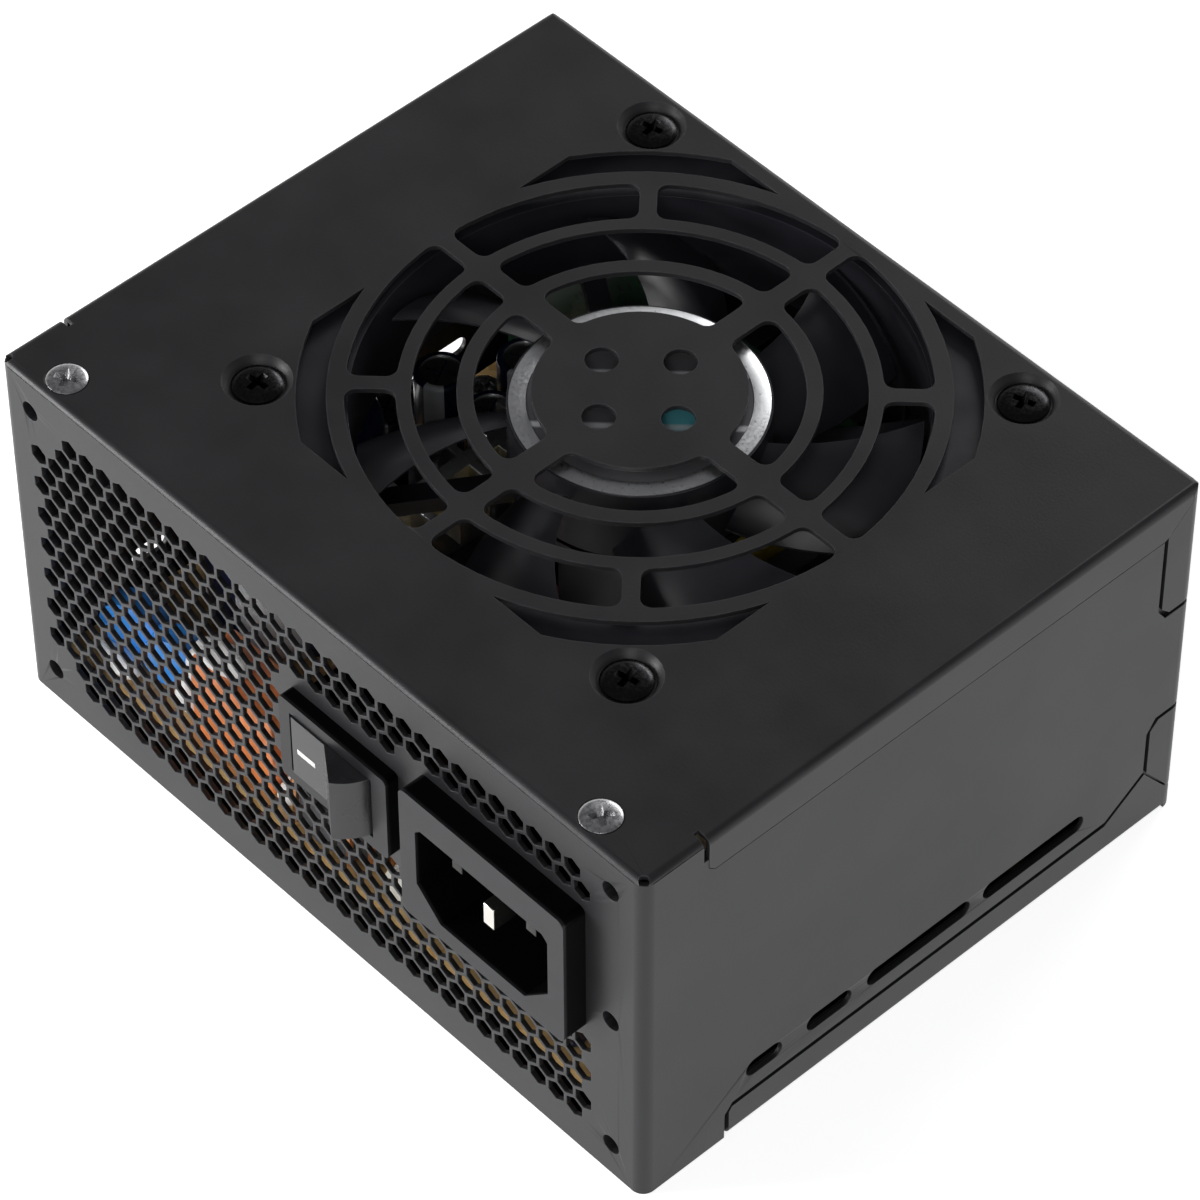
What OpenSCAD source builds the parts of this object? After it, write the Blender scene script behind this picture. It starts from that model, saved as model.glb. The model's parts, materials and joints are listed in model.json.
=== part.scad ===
// Small form factor computer power supply with modular output sockets.
// Origin: centre of the underside. +X: right side, -Y: mains inlet panel, +Z: fan side.

/* [Case] */
// Width of the case along X
case_w = 125; // [125:1:128]
// Depth of the case along Y
case_d = 100; // [100:1:104]
// Height of the case along Z
case_h = 63.5; // [63.5:0.5:66]
// Thickness of the sheet steel
sheet = 0.75; // [0.75:0.125:1]
// Outside radius of the upright bends
bend_r = 2; // [1.5:0.1:2.5]
// Radius of the folded top and bottom edges
fold_r = 1.2; // [0.8:0.1:1.4]

/* [Panel holes] */
// Spacing of the fixing holes along X
fixing_w = 113; // [113:0.5:114]
// Spacing of the fixing holes along Z
fixing_h = 51.5; // [51.5:0.5:52]
// Radius of a tapped fixing hole
fixing_r = 1.5; // [1.35:0.05:1.6]
// Distance between neighbouring vent holes in a row
vent_pitch = 3.5; // [3.5:0.1:4]
// Corner radius of a hexagonal vent hole
vent_r = 1.7; // [1.4:0.05:1.75]
// Rows of vent holes
vent_rows = 17; // [9:2:17]

/* [Fan] */
// Side of the square fan frame
fan_size = 80; // [80:1:80]
// Thickness of the fan
fan_h = 15; // [15:1:15]
// Spacing of the fan screws
fan_screw_pitch = 71.5; // [71.5:0.1:71.6]
// Centre of the fan along Y
fan_y = 8; // [8:0.5:9]
// Outer radius of the fan hub
hub_r = 17.7; // [17:0.1:18]
// Number of fan blades
blades = 7; // [5:1:9]

/* [Inlet and switch] */
// Centre of the mains inlet along X
inlet_x = 36.4; // [36:0.1:37]
// Centre of the mains inlet along Z
inlet_z = 38; // [37.5:0.1:38]
// How far the inlet flange stands out of the panel
inlet_out = 3.8; // [3:0.1:4]
// Centre of the switch along X
switch_x = 6; // [5.5:0.1:6.5]
// Centre of the switch along Z
switch_z = 38; // [37.5:0.1:38.5]
// How far the switch bezel stands out of the panel
switch_out = 2.2; // [2:0.1:2.4]
// Tilt of the rocker either side of level
rocker_tilt = 18; // [15:1:18]

/* [Hidden] */
$fn = 48;
hw = case_w / 2;
hd = case_d / 2;
in_w = hw - sheet;
front_y = -hd;
fixing_z = case_h / 2;
row_pitch = vent_pitch * sqrt(3) / 2;
// Vent holes: the band along X that they fill, and the plain steel kept round the panel's fittings
vent_x0 = -55.5;
vent_x1 = 53;
fixing_clear = 5.6;
vent_clear = 3;
// Vent rows of the rear wall: steps in a row, rows, height of the lowest
rear_vents = 24;
rear_vent_rows = 3;
rear_vent_z = 50;
// Middle of the front panel, between its rounded corners
panel_w = case_w - 7;
cover_z = case_h - sheet;
// Folded lips: the cover's reach down the sides, the tray's reach up them
cover_lip_z = 57.2;
cover_lip_y = -38.8;
tray_lip_z = 6;
tray_lip_y = -34.5;
tab_y = 43.8;
slit = 0.7;
tray_slit = 0.8;
seam = 0.1;
// Joggled strip behind each lip
joggle = 3;
// Depth of the tapped collars behind the fixing holes
collar_l = 1.75;
// Screws that hold the cover, and the tray
cover_screw_at = [[-53, -46], [50.5, -46]];
base_screw_at = [[-53, -45], [53, -45], [-54, 38], [54, 38]];
screw_r = 1.45;
// Fan
dimple = 1.1;
dimple_r = 3.8;
dimple_rim = 4.8;
fan_top = cover_z - dimple;
fan_z = fan_top - fan_h;
duct_r = 38.6;
hub_top = fan_top - 0.1;
label_t = 0.2;
cup_t = 1.2;
hub_inside = hub_top - label_t - cup_t;
shaft_r = 1.5;
running = 0.03;
// Grille rings: inner radius, outer radius, slots in the ring, width of the spokes between them
grille_rings = [[14.4, 22, 4, 4], [24.2, 30.2, 4, 3], [32.2, 39, 8, 2.4]];
crescent_r = [41.4, 45.4];
crescent_half = 39;
slot_corner_r = 1.6;
// Main board
board_z = 6;
board_t = 1.6;
top_z = board_z + board_t;
board_x = 58;
board_y0 = -46;
board_y1 = 34;
// Output sockets: cell pitch, outer height, and where the row of cells starts
cell = 4.2;
wall = 0.8;
socket_h = 2 * cell + 2 * wall;
socket_y0 = 38;
socket_y1 = hd - 0.1;
socket_mouth = 4.5;
// Sockets: centre X, centre Z, columns
main_sockets = [[-27, 19, 12]];
processor_sockets = [[20, 19, 4]];
graphics_sockets = [[-43, 36, 4], [-20, 36, 4]];
peripheral_sockets = [[2, 36, 3], [20, 36, 3], [38, 36, 3]];
all_sockets = concat(main_sockets, processor_sockets, graphics_sockets, peripheral_sockets);
// Switch
bezel_w = 21;
bezel_h = 15.4;
// Switch body behind the panel, and the clearance of its cutout
switch_body_w = 19;
switch_body_h = 13;
cutout_gap = 0.1;
rocker_x = switch_x - 0.4;
rocker_r = 7.8;
rocker_h = 11;
rocker_gap = 0.2;
rocker_valley = 2.7;
axle_l = 12.2;
pivot_y = front_y + 0.1;
pivot_r = 1.2;
// Inlet
flange_w = 31;
flange_h = 24;
inlet_body_w = 27;
inlet_body_h = 20;
cavity_w = 25;
cavity_h = 15.6;
cavity_drop = 1.2;
cavity_chamfer = 4.5;
inlet_back = -34;
// Front tips of the inlet's pins, from the panel's outside face
pin_tip = -1.6;
earth_tip = -2.6;
terminal_l = 6;

// ---------- shared shapes ----------

module rounded_rectangle(size, r) {
    square([size[0], size[1] - 2 * r], center = true);
    square([size[0] - 2 * r, size[1]], center = true);
    for (i = [-1, 1], j = [-1, 1])
        translate([i * (size[0] / 2 - r), j * (size[1] / 2 - r)]) circle(r);
}

// Extrudes a shape drawn in X and Z from one Y to another
module along_y(y0, y1) {
    translate([0, y1, 0]) rotate([90, 0, 0]) linear_extrude(y1 - y0) children();
}

// Extrudes a shape drawn in Y and Z from one X to another
module along_x(x0, x1) {
    translate([x0, 0, 0]) rotate([90, 0, 90]) linear_extrude(x1 - x0) children();
}

module fan_screw_places() {
    for (i = [-1, 1], j = [-1, 1]) translate([i * fan_screw_pitch / 2, j * fan_screw_pitch / 2]) children();
}

module both_sides() {
    children();
    mirror([1, 0, 0]) children();
}

module block(lo, hi) {
    translate(lo) cube(hi - lo);
}

// A point on the smooth curve from b to c, with a before them and d after
function curve_point(a, b, c, d, t) =
    0.5 * (2 * b + (c - a) * t + (2 * a - 5 * b + 4 * c - d) * t * t + (3 * b - a - 3 * c + d) * t * t * t);
function smooth_route(p, steps) = concat([for (i = [0 : len(p) - 2], k = [0 : steps - 1])
    curve_point(p[max(i - 1, 0)], p[i], p[i + 1], p[min(i + 2, len(p) - 1)], k / steps)], [p[len(p) - 1]]);
function unit(v) = v / norm(v);

// A wire of radius r along a route, as one swept tube
module lead(route, r) {
    sides = 8;
    p = smooth_route(route, 3);
    last = len(p) - 1;
    helper = [0.5, 0.2, -0.1];
    points = [for (i = [0 : last])
        let (t = unit(p[min(i + 1, last)] - p[max(i - 1, 0)]), n = unit(cross(t, helper)), b = cross(t, n))
        for (k = [0 : sides - 1]) p[i] + r * (cos(k * 360 / sides) * n + sin(k * 360 / sides) * b)];
    skin = [for (i = [0 : last - 1], k = [0 : sides - 1])
        [i * sides + k, (i + 1) * sides + k, (i + 1) * sides + (k + 1) % sides, i * sides + (k + 1) % sides]];
    split = [for (f = skin) each [[f[0], f[1], f[2]], [f[0], f[2], f[3]]]];
    polyhedron(points, concat(split, [[for (k = [0 : sides - 1]) k],
        [for (k = [sides - 1 : -1 : 0]) last * sides + k]]), convexity = 6);
}

module ring_2d(r0, r1) {
    difference() {
        circle(r1);
        circle(r0);
    }
}

// ---------- folded sheet case ----------

// Where the cover's lip covers the side wall; g widens it into the cut in the wall
module cover_lip_outline(g) {
    polygon([[cover_lip_y - g, cover_lip_z + 1 - g], [cover_lip_y + 1, cover_lip_z - g],
        [tab_y - 0.6, cover_lip_z - g], [tab_y - 0.6, cover_lip_z], [hd - 2, case_h - 2],
        [hd - 2, case_h], [cover_lip_y - g, case_h]]);
}

// Where the rear wall's upper tab wraps round the side wall
module upper_tab_outline(g) {
    polygon([[tab_y - g, 43.5], [tab_y + 1.5 - g, 42 - g], [hd, 42 - g], [hd, case_h - sheet],
        [hd - 1.6, case_h - 2], [tab_y, cover_lip_z + 0.2], [tab_y - g, cover_lip_z]]);
}

module lower_tab_outline(g) {
    polygon([[tab_y - g, 10.6], [hd - 1.6, 4.5], [hd, 4.5], [hd, 20.5 + g],
        [tab_y + 1.5 - g, 20.5 + g], [tab_y - g, 19]]);
}

module tray_lip_outline(g) {
    z = tray_lip_z - 0.4;
    polygon([[tray_lip_y - g, 0], [tray_lip_y - g, z - 0.8], [tray_lip_y + 0.6, z + g], [36, z + g],
        [tab_y - 0.4, 10.6 + g], [tab_y, 10], [hd - 2, 4.5], [hd - 2, 0]]);
}

// The strip of side wall that steps in behind the lips and tabs
module joggle_outline() {
    polygon([[cover_lip_y - joggle, cover_lip_z - joggle], [tab_y - joggle, cover_lip_z - joggle],
        [tab_y - joggle, 22 + joggle], [tab_y - joggle - 1, 13], [33, tray_lip_z + 2.5],
        [tray_lip_y - joggle, tray_lip_z + 2.5], [tray_lip_y - joggle, sheet], [hd - 1.1, sheet],
        [hd - 1.1, cover_z], [cover_lip_y - joggle, cover_z]]);
}

module side_slot(y0, y1) {
    r = 1.5;
    z = 10.6;
    along_x(in_w - 0.5, hw + 1) {
        translate([y0 + r, z - r]) square([y1 - y0 - 2 * r, 2 * r]);
        for (y = [y0 + r, y1 - r]) translate([y, z]) circle(r);
    }
}

function vent_x(row, i) = vent_x0 + (row % 2) * vent_pitch / 2 + i * vent_pitch;
function vent_z(row) = fixing_z + (row - (vent_rows - 1) / 2) * row_pitch;
// A vent hole is left out near the fixing holes, the switch and the inlet
function near_fixing(x, z) =
    min([for (i = [-1, 1], j = [-1, 1])
        norm([x - i * fixing_w / 2, z - fixing_z - j * fixing_h / 2])]) < fixing_clear
    || norm([x - fixing_w / 2, z - fixing_z]) < fixing_clear - 0.6;
function near_switch(x, z) =
    abs(x - switch_x) < bezel_w / 2 + vent_clear && abs(z - switch_z) < bezel_h / 2 + vent_clear;
function near_inlet(x, z) =
    x > inlet_x - flange_w / 2 - vent_clear && abs(z - inlet_z) < flange_h / 2 + vent_clear - 0.6;
function has_vent(x, z) = x < vent_x1 && !near_fixing(x, z) && !near_switch(x, z) && !near_inlet(x, z);

module front_panel_outline() {
    difference() {
        translate([-panel_w / 2, 0]) square([panel_w, cover_z]);
        for (row = [0 : vent_rows - 1], i = [0 : ceil((vent_x1 - vent_x0) / vent_pitch)])
            if (has_vent(vent_x(row, i), vent_z(row)))
                translate([vent_x(row, i), vent_z(row)]) rotate(30) circle(vent_r, $fn = 6);
        for (i = [-1, 1], j = [-1, 1])
            translate([i * fixing_w / 2, fixing_z + j * fixing_h / 2]) circle(fixing_r);
        translate([fixing_w / 2, fixing_z]) circle(fixing_r);
        translate([inlet_x, inlet_z])
            square([inlet_body_w, inlet_body_h] + 4 * cutout_gap * [1, 1], center = true);
        translate([switch_x, switch_z])
            square([switch_body_w, switch_body_h] + 2 * cutout_gap * [1, 1], center = true);
    }
}

module tapped_collar(x, z) {
    along_y(front_y + sheet, front_y + sheet + collar_l) translate([x, z]) ring_2d(fixing_r, fixing_r + 1);
}

// A tongue folded in from the front panel, drilled for a screw at x, y
module screw_flange(x, y, z) {
    difference() {
        block([x - 6, front_y + sheet / 2, z], [x + 6, y + 4, z + sheet]);
        translate([x, y, z - 1]) cylinder(r = screw_r + 0.1, h = 3);
    }
}

// A foot folded in from the side wall under the tray's rear screws
module side_foot(x, y) {
    difference() {
        mirror([x < 0 ? 1 : 0, 0, 0]) block([abs(x) - 6, y - 5, sheet], [in_w - 0.5, y + 5, 2 * sheet]);
        translate([x, y, 0]) cylinder(r = screw_r + 0.1, h = 3);
    }
}

module chassis_shell() color([0.16, 0.16, 0.17]) difference() {
    union() {
        linear_extrude(cover_z) difference() {
            rounded_rectangle([case_w, case_d], bend_r);
            rounded_rectangle([case_w - 2 * sheet, case_d - 2 * sheet], bend_r - sheet);
            translate([-in_w, 0]) square([2 * in_w, hd + 1]);
            translate([-hw - 1, hd - sheet]) square([case_w + 2, 5]);
            translate([-panel_w / 2, front_y - 1]) square([panel_w, 3]);
        }
        along_y(front_y, front_y + sheet) front_panel_outline();
        for (i = [-1, 1], j = [-1, 1]) tapped_collar(i * fixing_w / 2, fixing_z + j * fixing_h / 2);
        tapped_collar(fixing_w / 2, fixing_z);
        both_sides() along_x(in_w - sheet, in_w) joggle_outline();
        for (p = cover_screw_at) screw_flange(p[0], p[1], cover_z - sheet);
        for (p = base_screw_at) if (p[1] < 0) screw_flange(p[0], p[1], sheet);
            else side_foot(p[0], p[1]);
    }
    both_sides() {
        along_x(in_w, hw + 1) {
            cover_lip_outline(seam);
            upper_tab_outline(slit);
            lower_tab_outline(slit);
            tray_lip_outline(tray_slit);
            polygon([[tab_y - slit, 9], [hd, 3], [hd, 9], [tab_y + 2, 12]]);
        }
        block([in_w - 2, cover_lip_y - 0.9, 59.8], [hw + 1, cover_lip_y + 1, case_h]);
        side_slot(-31.5, -25);
        side_slot(-20.5, -12.3);
        side_slot(-9.4, 9.8);
        side_slot(12.3, 31.5);
    }
}

function arc_points(centre, r, a, b, n) =
    [for (k = [0 : n]) let (t = a + (b - a) * k / n) centre + r * [cos(t), sin(t)]];
// The same outline seen in a mirror along the line at angle m, and run backwards
function mirrored(points, m) = [for (k = [len(points) - 1 : -1 : 0]) let (p = points[k])
    [p[0] * cos(2 * m) + p[1] * sin(2 * m), p[0] * sin(2 * m) - p[1] * cos(2 * m)]];

// One fan slot: part of a ring between two spokes, with round corners, starting at the spoke along +X
module grille_slot(r0, r1, span, spoke) {
    r = slot_corner_r;
    y = spoke / 2 + r;
    inner = [sqrt(pow(r0 + r, 2) - y * y), y];
    outer = [sqrt(pow(r1 - r, 2) - y * y), y];
    a0 = atan2(inner[1], inner[0]);
    a1 = atan2(outer[1], outer[0]);
    steps = ceil(span / 6);
    end = concat(arc_points(inner, r, 180 + a0, 270, 4), arc_points(outer, r, 270, 360 + a1, 4));
    rim = arc_points([0, 0], r1, a1 + 2, span - a1 - 2, steps);
    heel = arc_points([0, 0], r0, span - a0 - 2, a0 + 2, steps);
    polygon(concat(end, rim, mirrored(end, span / 2), heel));
}

// A corner opening outside the last full ring, clipped square
module crescent() {
    a0 = acos(crescent_half / crescent_r[0]);
    a1 = acos(crescent_half / crescent_r[1]);
    polygon(concat(arc_points([0, 0], crescent_r[1], a1, 90 - a1, 6),
        arc_points([0, 0], crescent_r[0], 90 - a0, a0, 10)));
}

module grille_outline() {
    for (g = grille_rings, k = [0 : g[2] - 1]) rotate(k * 360 / g[2])
        grille_slot(g[0], g[1], 360 / g[2], g[3]);
    for (a = [0 : 90 : 270]) rotate(a) {
        crescent();
        translate([7.4, 0]) circle(2.3);
    }
}

// Section of the dimple pressed into the cover for a fan screw, without the hole
module dimple_section() {
    polygon([[0, cover_z - dimple], [dimple_r, cover_z - dimple], [dimple_rim, cover_z - 0.01],
        [dimple_rim, case_h], [dimple_r, case_h - dimple], [0, case_h - dimple]]);
}

module dimpled_cover() {
    difference() {
        folded_cover();
        translate([0, fan_y, 0]) fan_screw_places() {
            translate([0, 0, case_h - dimple]) cylinder(r1 = dimple_r, r2 = dimple_rim, h = dimple);
            translate([0, 0, cover_z - 1]) cylinder(r = dimple_r, h = 2);
        }
    }
    translate([0, fan_y, 0]) fan_screw_places() rotate_extrude() dimple_section();
}

module top_cover() color([0.13, 0.13, 0.14]) difference() {
    dimpled_cover();
    translate([0, fan_y, cover_z - dimple - 1]) fan_screw_places() cylinder(r = 2.1, h = 3);
    for (p = cover_screw_at) translate([p[0], p[1], cover_z - 0.5]) {
        cylinder(r = 1.7, h = 2);
        translate([0, 0, 0.5]) cylinder(r1 = 2.05, r2 = 3.05, h = sheet);
    }
}

module folded_cover() difference() {
    intersection() {
        linear_extrude(case_h) difference() {
            rounded_rectangle([case_w, case_d], bend_r);
            translate([0, fan_y]) grille_outline();
            // relief holes where the bends meet
            both_sides() translate([hw - 0.9, front_y + 0.9]) circle(0.7);
        }
        union() {
            block([-hw, -hd, cover_z], [hw, hd, case_h]);
            both_sides() along_x(in_w, hw) cover_lip_outline(0);
        }
        along_y(-hd, hd) difference() {
            rounded_rectangle([case_w, 2 * case_h], fold_r);
            translate([0, -0.1]) square([2 * in_w, 0.2], center = true);
        }
        along_x(-hw, hw) rounded_rectangle([case_d, 2 * case_h], fold_r);
    }
    both_sides() block([in_w - 1.4, cover_lip_y - 0.9, 59.8], [hw + 1, cover_lip_y, case_h + 1]);
}

module tray_side() {
    along_x(in_w, hw) {
        difference() {
            tray_lip_outline(0);
            translate([46.8, 7.4]) rotate(-60) square([6, 0.5], center = true);
        }
        lower_tab_outline(0);
        upper_tab_outline(0);
    }
}

module rear_wall_outline() {
    difference() {
        translate([-in_w, 0]) square([2 * in_w, cover_z]);
        for (s = all_sockets) translate([s[0], s[1]])
            square([s[2] * cell + 2 * wall + 0.2, socket_h + 0.2], center = true);
        for (row = [0 : rear_vent_rows - 1], i = [0 : rear_vents - row % 2])
            translate([(i - (rear_vents - row % 2) / 2) * vent_pitch, rear_vent_z + row * row_pitch])
                rotate(30) circle(vent_r, $fn = 6);
    }
}

module base_tray() color([0.15, 0.15, 0.16]) difference() {
    intersection() {
        union() {
            linear_extrude(sheet) {
                rounded_rectangle([2 * in_w, case_d - 2 * sheet], bend_r - sheet);
                translate([-in_w, 0]) square([2 * in_w, hd]);
            }
            along_y(hd - sheet, hd) rear_wall_outline();
            both_sides() {
                tray_side();
                block([in_w - 1, tray_lip_y + 0.5, 0], [hw, hd - 2, sheet]);
                block([in_w - 1, hd - sheet, 4.5], [hw, hd, 20.5]);
                block([in_w - 1, hd - sheet, 42], [hw, hd, cover_z]);
                block([44, hd - 5, cover_z - sheet], [in_w - 1.2, hd - sheet, cover_z]);
            }
        }
        linear_extrude(case_h) rounded_rectangle([case_w, case_d], bend_r);
        translate([0, 0, case_h]) along_y(-hd, hd) rounded_rectangle([case_w, 2 * case_h], fold_r);
        translate([0, 0, case_h]) along_x(-hw, hw) rounded_rectangle([case_d, 2 * case_h], fold_r);
    }
    for (p = base_screw_at) translate([p[0], p[1], -0.01]) cylinder(r1 = 2.85, r2 = 1.85, h = sheet + 0.02);
    for (p = standoff_at) translate([p[0], p[1], -1]) cylinder(r = 1.6, h = 3);
}

// ---------- screws ----------

module cross_recess(size, depth) {
    for (a = [0, 90]) rotate(a) translate([-size / 2, -0.45, -depth]) cube([size, 0.9, depth + 1]);
}

// Countersunk head with a low crown standing raised by crown
module countersunk_screw(head_r, head_h, length, crown) {
    difference() {
        union() {
            translate([0, 0, -head_h]) cylinder(r1 = screw_r, r2 = head_r, h = head_h);
            if (crown > 0) cylinder(r1 = head_r, r2 = head_r - 0.4, h = crown);
            translate([0, 0, -length]) cylinder(r = screw_r, h = length - head_h + 0.01);
        }
        translate([0, 0, crown]) cross_recess(3.4, 0.9);
    }
}

module cover_screws() color([0.75, 0.75, 0.76])
    for (p = cover_screw_at) translate([p[0], p[1], case_h]) rotate(25)
        countersunk_screw(2.85, sheet, 4.5, 0.3);

module base_screws() color([0.2, 0.2, 0.2])
    for (p = base_screw_at) translate([p[0], p[1], 0.1]) mirror([0, 0, 1])
        countersunk_screw(2.6, sheet - 0.1, 4.5, 0);

// Low round head that sits down in its dimple
module fan_screw() {
    difference() {
        union() {
            cylinder(r = 3.6, h = 0.35);
            translate([0, 0, 0.35]) cylinder(r1 = 3.6, r2 = 2.6, h = 0.4);
            translate([0, 0, -7]) cylinder(r = 1.9, h = 7.01);
        }
        translate([0, 0, 0.75]) cross_recess(3.6, 1.2);
    }
}

module fan_screws() color([0.05, 0.05, 0.05])
    translate([0, fan_y, case_h - dimple]) fan_screw_places() rotate(20) fan_screw();

// ---------- fan ----------

module fan_frame() color([0.07, 0.07, 0.075]) translate([0, fan_y, fan_z]) difference() {
    union() {
        difference() {
            linear_extrude(fan_h) difference() {
                rounded_rectangle([fan_size, fan_size], 3);
                circle(duct_r);
                fan_screw_places() circle(2);
            }
            // waist between the two corner flanges
            translate([0, 0, 3.5]) linear_extrude(fan_h - 7) difference() {
                square(fan_size + 2, center = true);
                circle(duct_r + 1.9);
                fan_screw_places() circle(3.4);
            }
        }
        for (a = [45 : 90 : 315]) rotate(a + 12) block([hub_r - 1.5, -1.6, 0], [duct_r + 0.5, 1.6, 2.6]);
        cylinder(r = hub_r - 0.4, h = 1.8);
        cylinder(r = 4.2, h = 10.4);
    }
    translate([0, 0, 1.2]) cylinder(r = 3, h = 12);
}

module fan_bearing() color([0.6, 0.45, 0.25]) translate([0, fan_y, fan_z + 1.9]) linear_extrude(8.4)
    ring_2d(shaft_r + running, 2.98);

module fan_shaft() color([0.7, 0.7, 0.72])
    translate([0, fan_y, fan_z + 2.2]) cylinder(r = shaft_r, h = hub_inside - fan_z - 2.2);

// Blade section at radius r: points along the chord, wrapped round the axis
blade_r0 = 17;
blade_r1 = 37.64;
blade_sweep = 20;
function outward(r) = (r - blade_r0) / 21;
function blade_pitch(r) = 38 - 14 * outward(r);
function blade_chord(r) = 12.5 + 6.5 * outward(r);
function blade_point(r, u, side) =
    let (s = u * blade_chord(r) * cos(blade_pitch(r)), camber = 1.1 * (1 - 4 * u * u),
        thick = 0.55 * sqrt(max(0.05, 1 - 3.6 * u * u)),
        a = blade_sweep * outward(r) + s / r * 180 / PI,
        z = u * blade_chord(r) * sin(blade_pitch(r)) + camber + side * thick)
    [r * cos(a), r * sin(a), z];
chord_steps = 8;
blade_radii = [for (k = [0 : 8]) blade_r0 + k * (blade_r1 - blade_r0) / 8];
module fan_blade() {
    ring = 2 * (chord_steps + 1);
    points = [for (r = blade_radii) each concat(
        [for (i = [0 : chord_steps]) blade_point(r, i / chord_steps - 0.5, 1)],
        [for (i = [chord_steps : -1 : 0]) blade_point(r, i / chord_steps - 0.5, -1)])];
    sides = [for (k = [0 : len(blade_radii) - 2], i = [0 : ring - 1])
        [k * ring + i, k * ring + (i + 1) % ring, (k + 1) * ring + (i + 1) % ring, (k + 1) * ring + i]];
    split = [for (f = sides) each [[f[0], f[1], f[2]], [f[0], f[2], f[3]]]];
    last = (len(blade_radii) - 1) * ring;
    ends = [for (i = [0 : chord_steps - 1]) each [
        [i, ring - 1 - i, i + 1], [i + 1, ring - 1 - i, ring - 2 - i],
        [last + i, last + i + 1, last + ring - 1 - i],
        [last + i + 1, last + ring - 2 - i, last + ring - 1 - i]]];
    polyhedron(points, concat(split, ends), convexity = 4);
}

module fan_rotor() color([0.09, 0.09, 0.1]) translate([0, fan_y, 0]) {
    difference() {
        translate([0, 0, fan_z + 3]) cylinder(r = hub_r, h = hub_top - label_t - fan_z - 3);
        translate([0, 0, fan_z + 2]) cylinder(r = hub_r - cup_t, h = hub_inside - fan_z - 2);
    }
    translate([0, 0, hub_inside - 2.2]) linear_extrude(2.3) ring_2d(shaft_r, 3.4);
    for (k = [0 : blades - 1]) rotate(k * 360 / blades + 12) translate([0, 0, fan_z + 8.2]) fan_blade();
}

module fan_label() color([0.8, 0.8, 0.82])
    translate([0, fan_y, hub_top - label_t]) cylinder(r = hub_r - 0.3, h = label_t);

module fan_magnet() color([0.15, 0.14, 0.13])
    translate([0, fan_y, fan_z + 3.6]) linear_extrude(8.8) ring_2d(hub_r - cup_t - 1, hub_r - cup_t);

module fan_stator() color([0.5, 0.5, 0.52]) translate([0, fan_y, fan_z + 4.6]) linear_extrude(4) {
    ring_2d(4.2, 6.6);
    for (a = [0 : 90 : 270]) rotate(a) {
        translate([6, -1.2]) square([7, 2.4]);
        intersection() {
            ring_2d(12.6, 14.6);
            translate([10, -7]) square([8, 14]);
        }
    }
}

module fan_coils() color([0.72, 0.42, 0.2]) translate([0, fan_y, fan_z + 3.4])
    for (a = [0 : 90 : 270]) rotate(a) difference() {
        block([7.4, -3.4, 0], [12, 3.4, 6.4]);
        block([7, -1.2, 1.2], [12.4, 1.2, 5.2]);
    }

module fan_circuit() color([0.1, 0.35, 0.2])
    translate([0, fan_y, fan_z + 1.8]) linear_extrude(0.9) ring_2d(4.3, 14.2);

fan_lead_route = [[-29, -33.2, fan_z + 2], [-29, -35, fan_z - 1], [-27, -35.5, 38], [-14, -31, 31],
    [-12.8, -24, 25], [-12.8, -21, top_z + 7.2]];
module fan_lead() color([0.75, 0.1, 0.08])
    for (k = [0, 1]) translate([k * 1.3, -k * 1.3, 0]) lead(fan_lead_route, 0.7);

module fan_plug() color([0.9, 0.9, 0.86]) block([-15.4, -23.2, top_z], [-8.8, -18.8, top_z + 6.4]);

// ---------- mains inlet ----------

module inlet_cavity_outline() {
    x = cavity_w / 2;
    z = cavity_h / 2;
    c = cavity_chamfer;
    translate([inlet_x, inlet_z - cavity_drop])
        polygon([[-x, z - 1], [-x + 1, z], [x - 1, z], [x, z - 1], [x, -z + c], [x - c, -z],
            [-x + c, -z], [-x, -z + c]]);
}

pin_at = [[-7, 4], [7, 4], [0, 0]];
module inlet_housing() color([0.1, 0.1, 0.1]) difference() {
    union() {
        along_y(front_y - inlet_out, front_y) translate([inlet_x, inlet_z])
            rounded_rectangle([flange_w, flange_h], 1.2);
        along_y(front_y, inlet_back) translate([inlet_x, inlet_z])
            square([inlet_body_w, inlet_body_h], center = true);
        // snap tongues behind the panel
        for (i = [-1, 1]) translate([inlet_x + i * 13.9, 0, 0])
            block([-0.9, front_y + sheet + 0.1, inlet_z - 4], [0.9, front_y + sheet + 4, inlet_z + 4]);
    }
    along_y(front_y - inlet_out - 1, inlet_back - 2) inlet_cavity_outline();
    for (p = pin_at) translate([inlet_x + p[0], 0, inlet_z - cavity_drop + p[1]])
        block([-1, inlet_back - 3, -2], [1, inlet_back + 1, 2]);
}

module inlet_pins() color([0.8, 0.78, 0.7])
    for (p = pin_at) translate([inlet_x + p[0], 0, inlet_z - cavity_drop + p[1]]) {
        block([-1, front_y + (p[0] == 0 ? earth_tip : pin_tip), -2], [1, inlet_back, 2]);
        block([-0.4, inlet_back, -2], [0.4, inlet_back + terminal_l, 2]);
    }

inlet_lead_routes = [
    [[29.4, -27, 38.8], [26, -25.5, 36], [12, -26, 40], [4, -28.5, 40]],
    [[43.4, -27, 38.8], [44.5, -26.6, 34], [43, -28, 20], [42, -29, top_z + 0.95]],
    [[36.4, -27, 34.8], [37, -25.6, 31], [40, -31, 27], [50, -33, 26], [56, -38, 20]]];
module inlet_leads() color([0.85, 0.75, 0.15])
    for (route = inlet_lead_routes) lead(route, 0.9);

// ---------- rocker switch ----------

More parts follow.
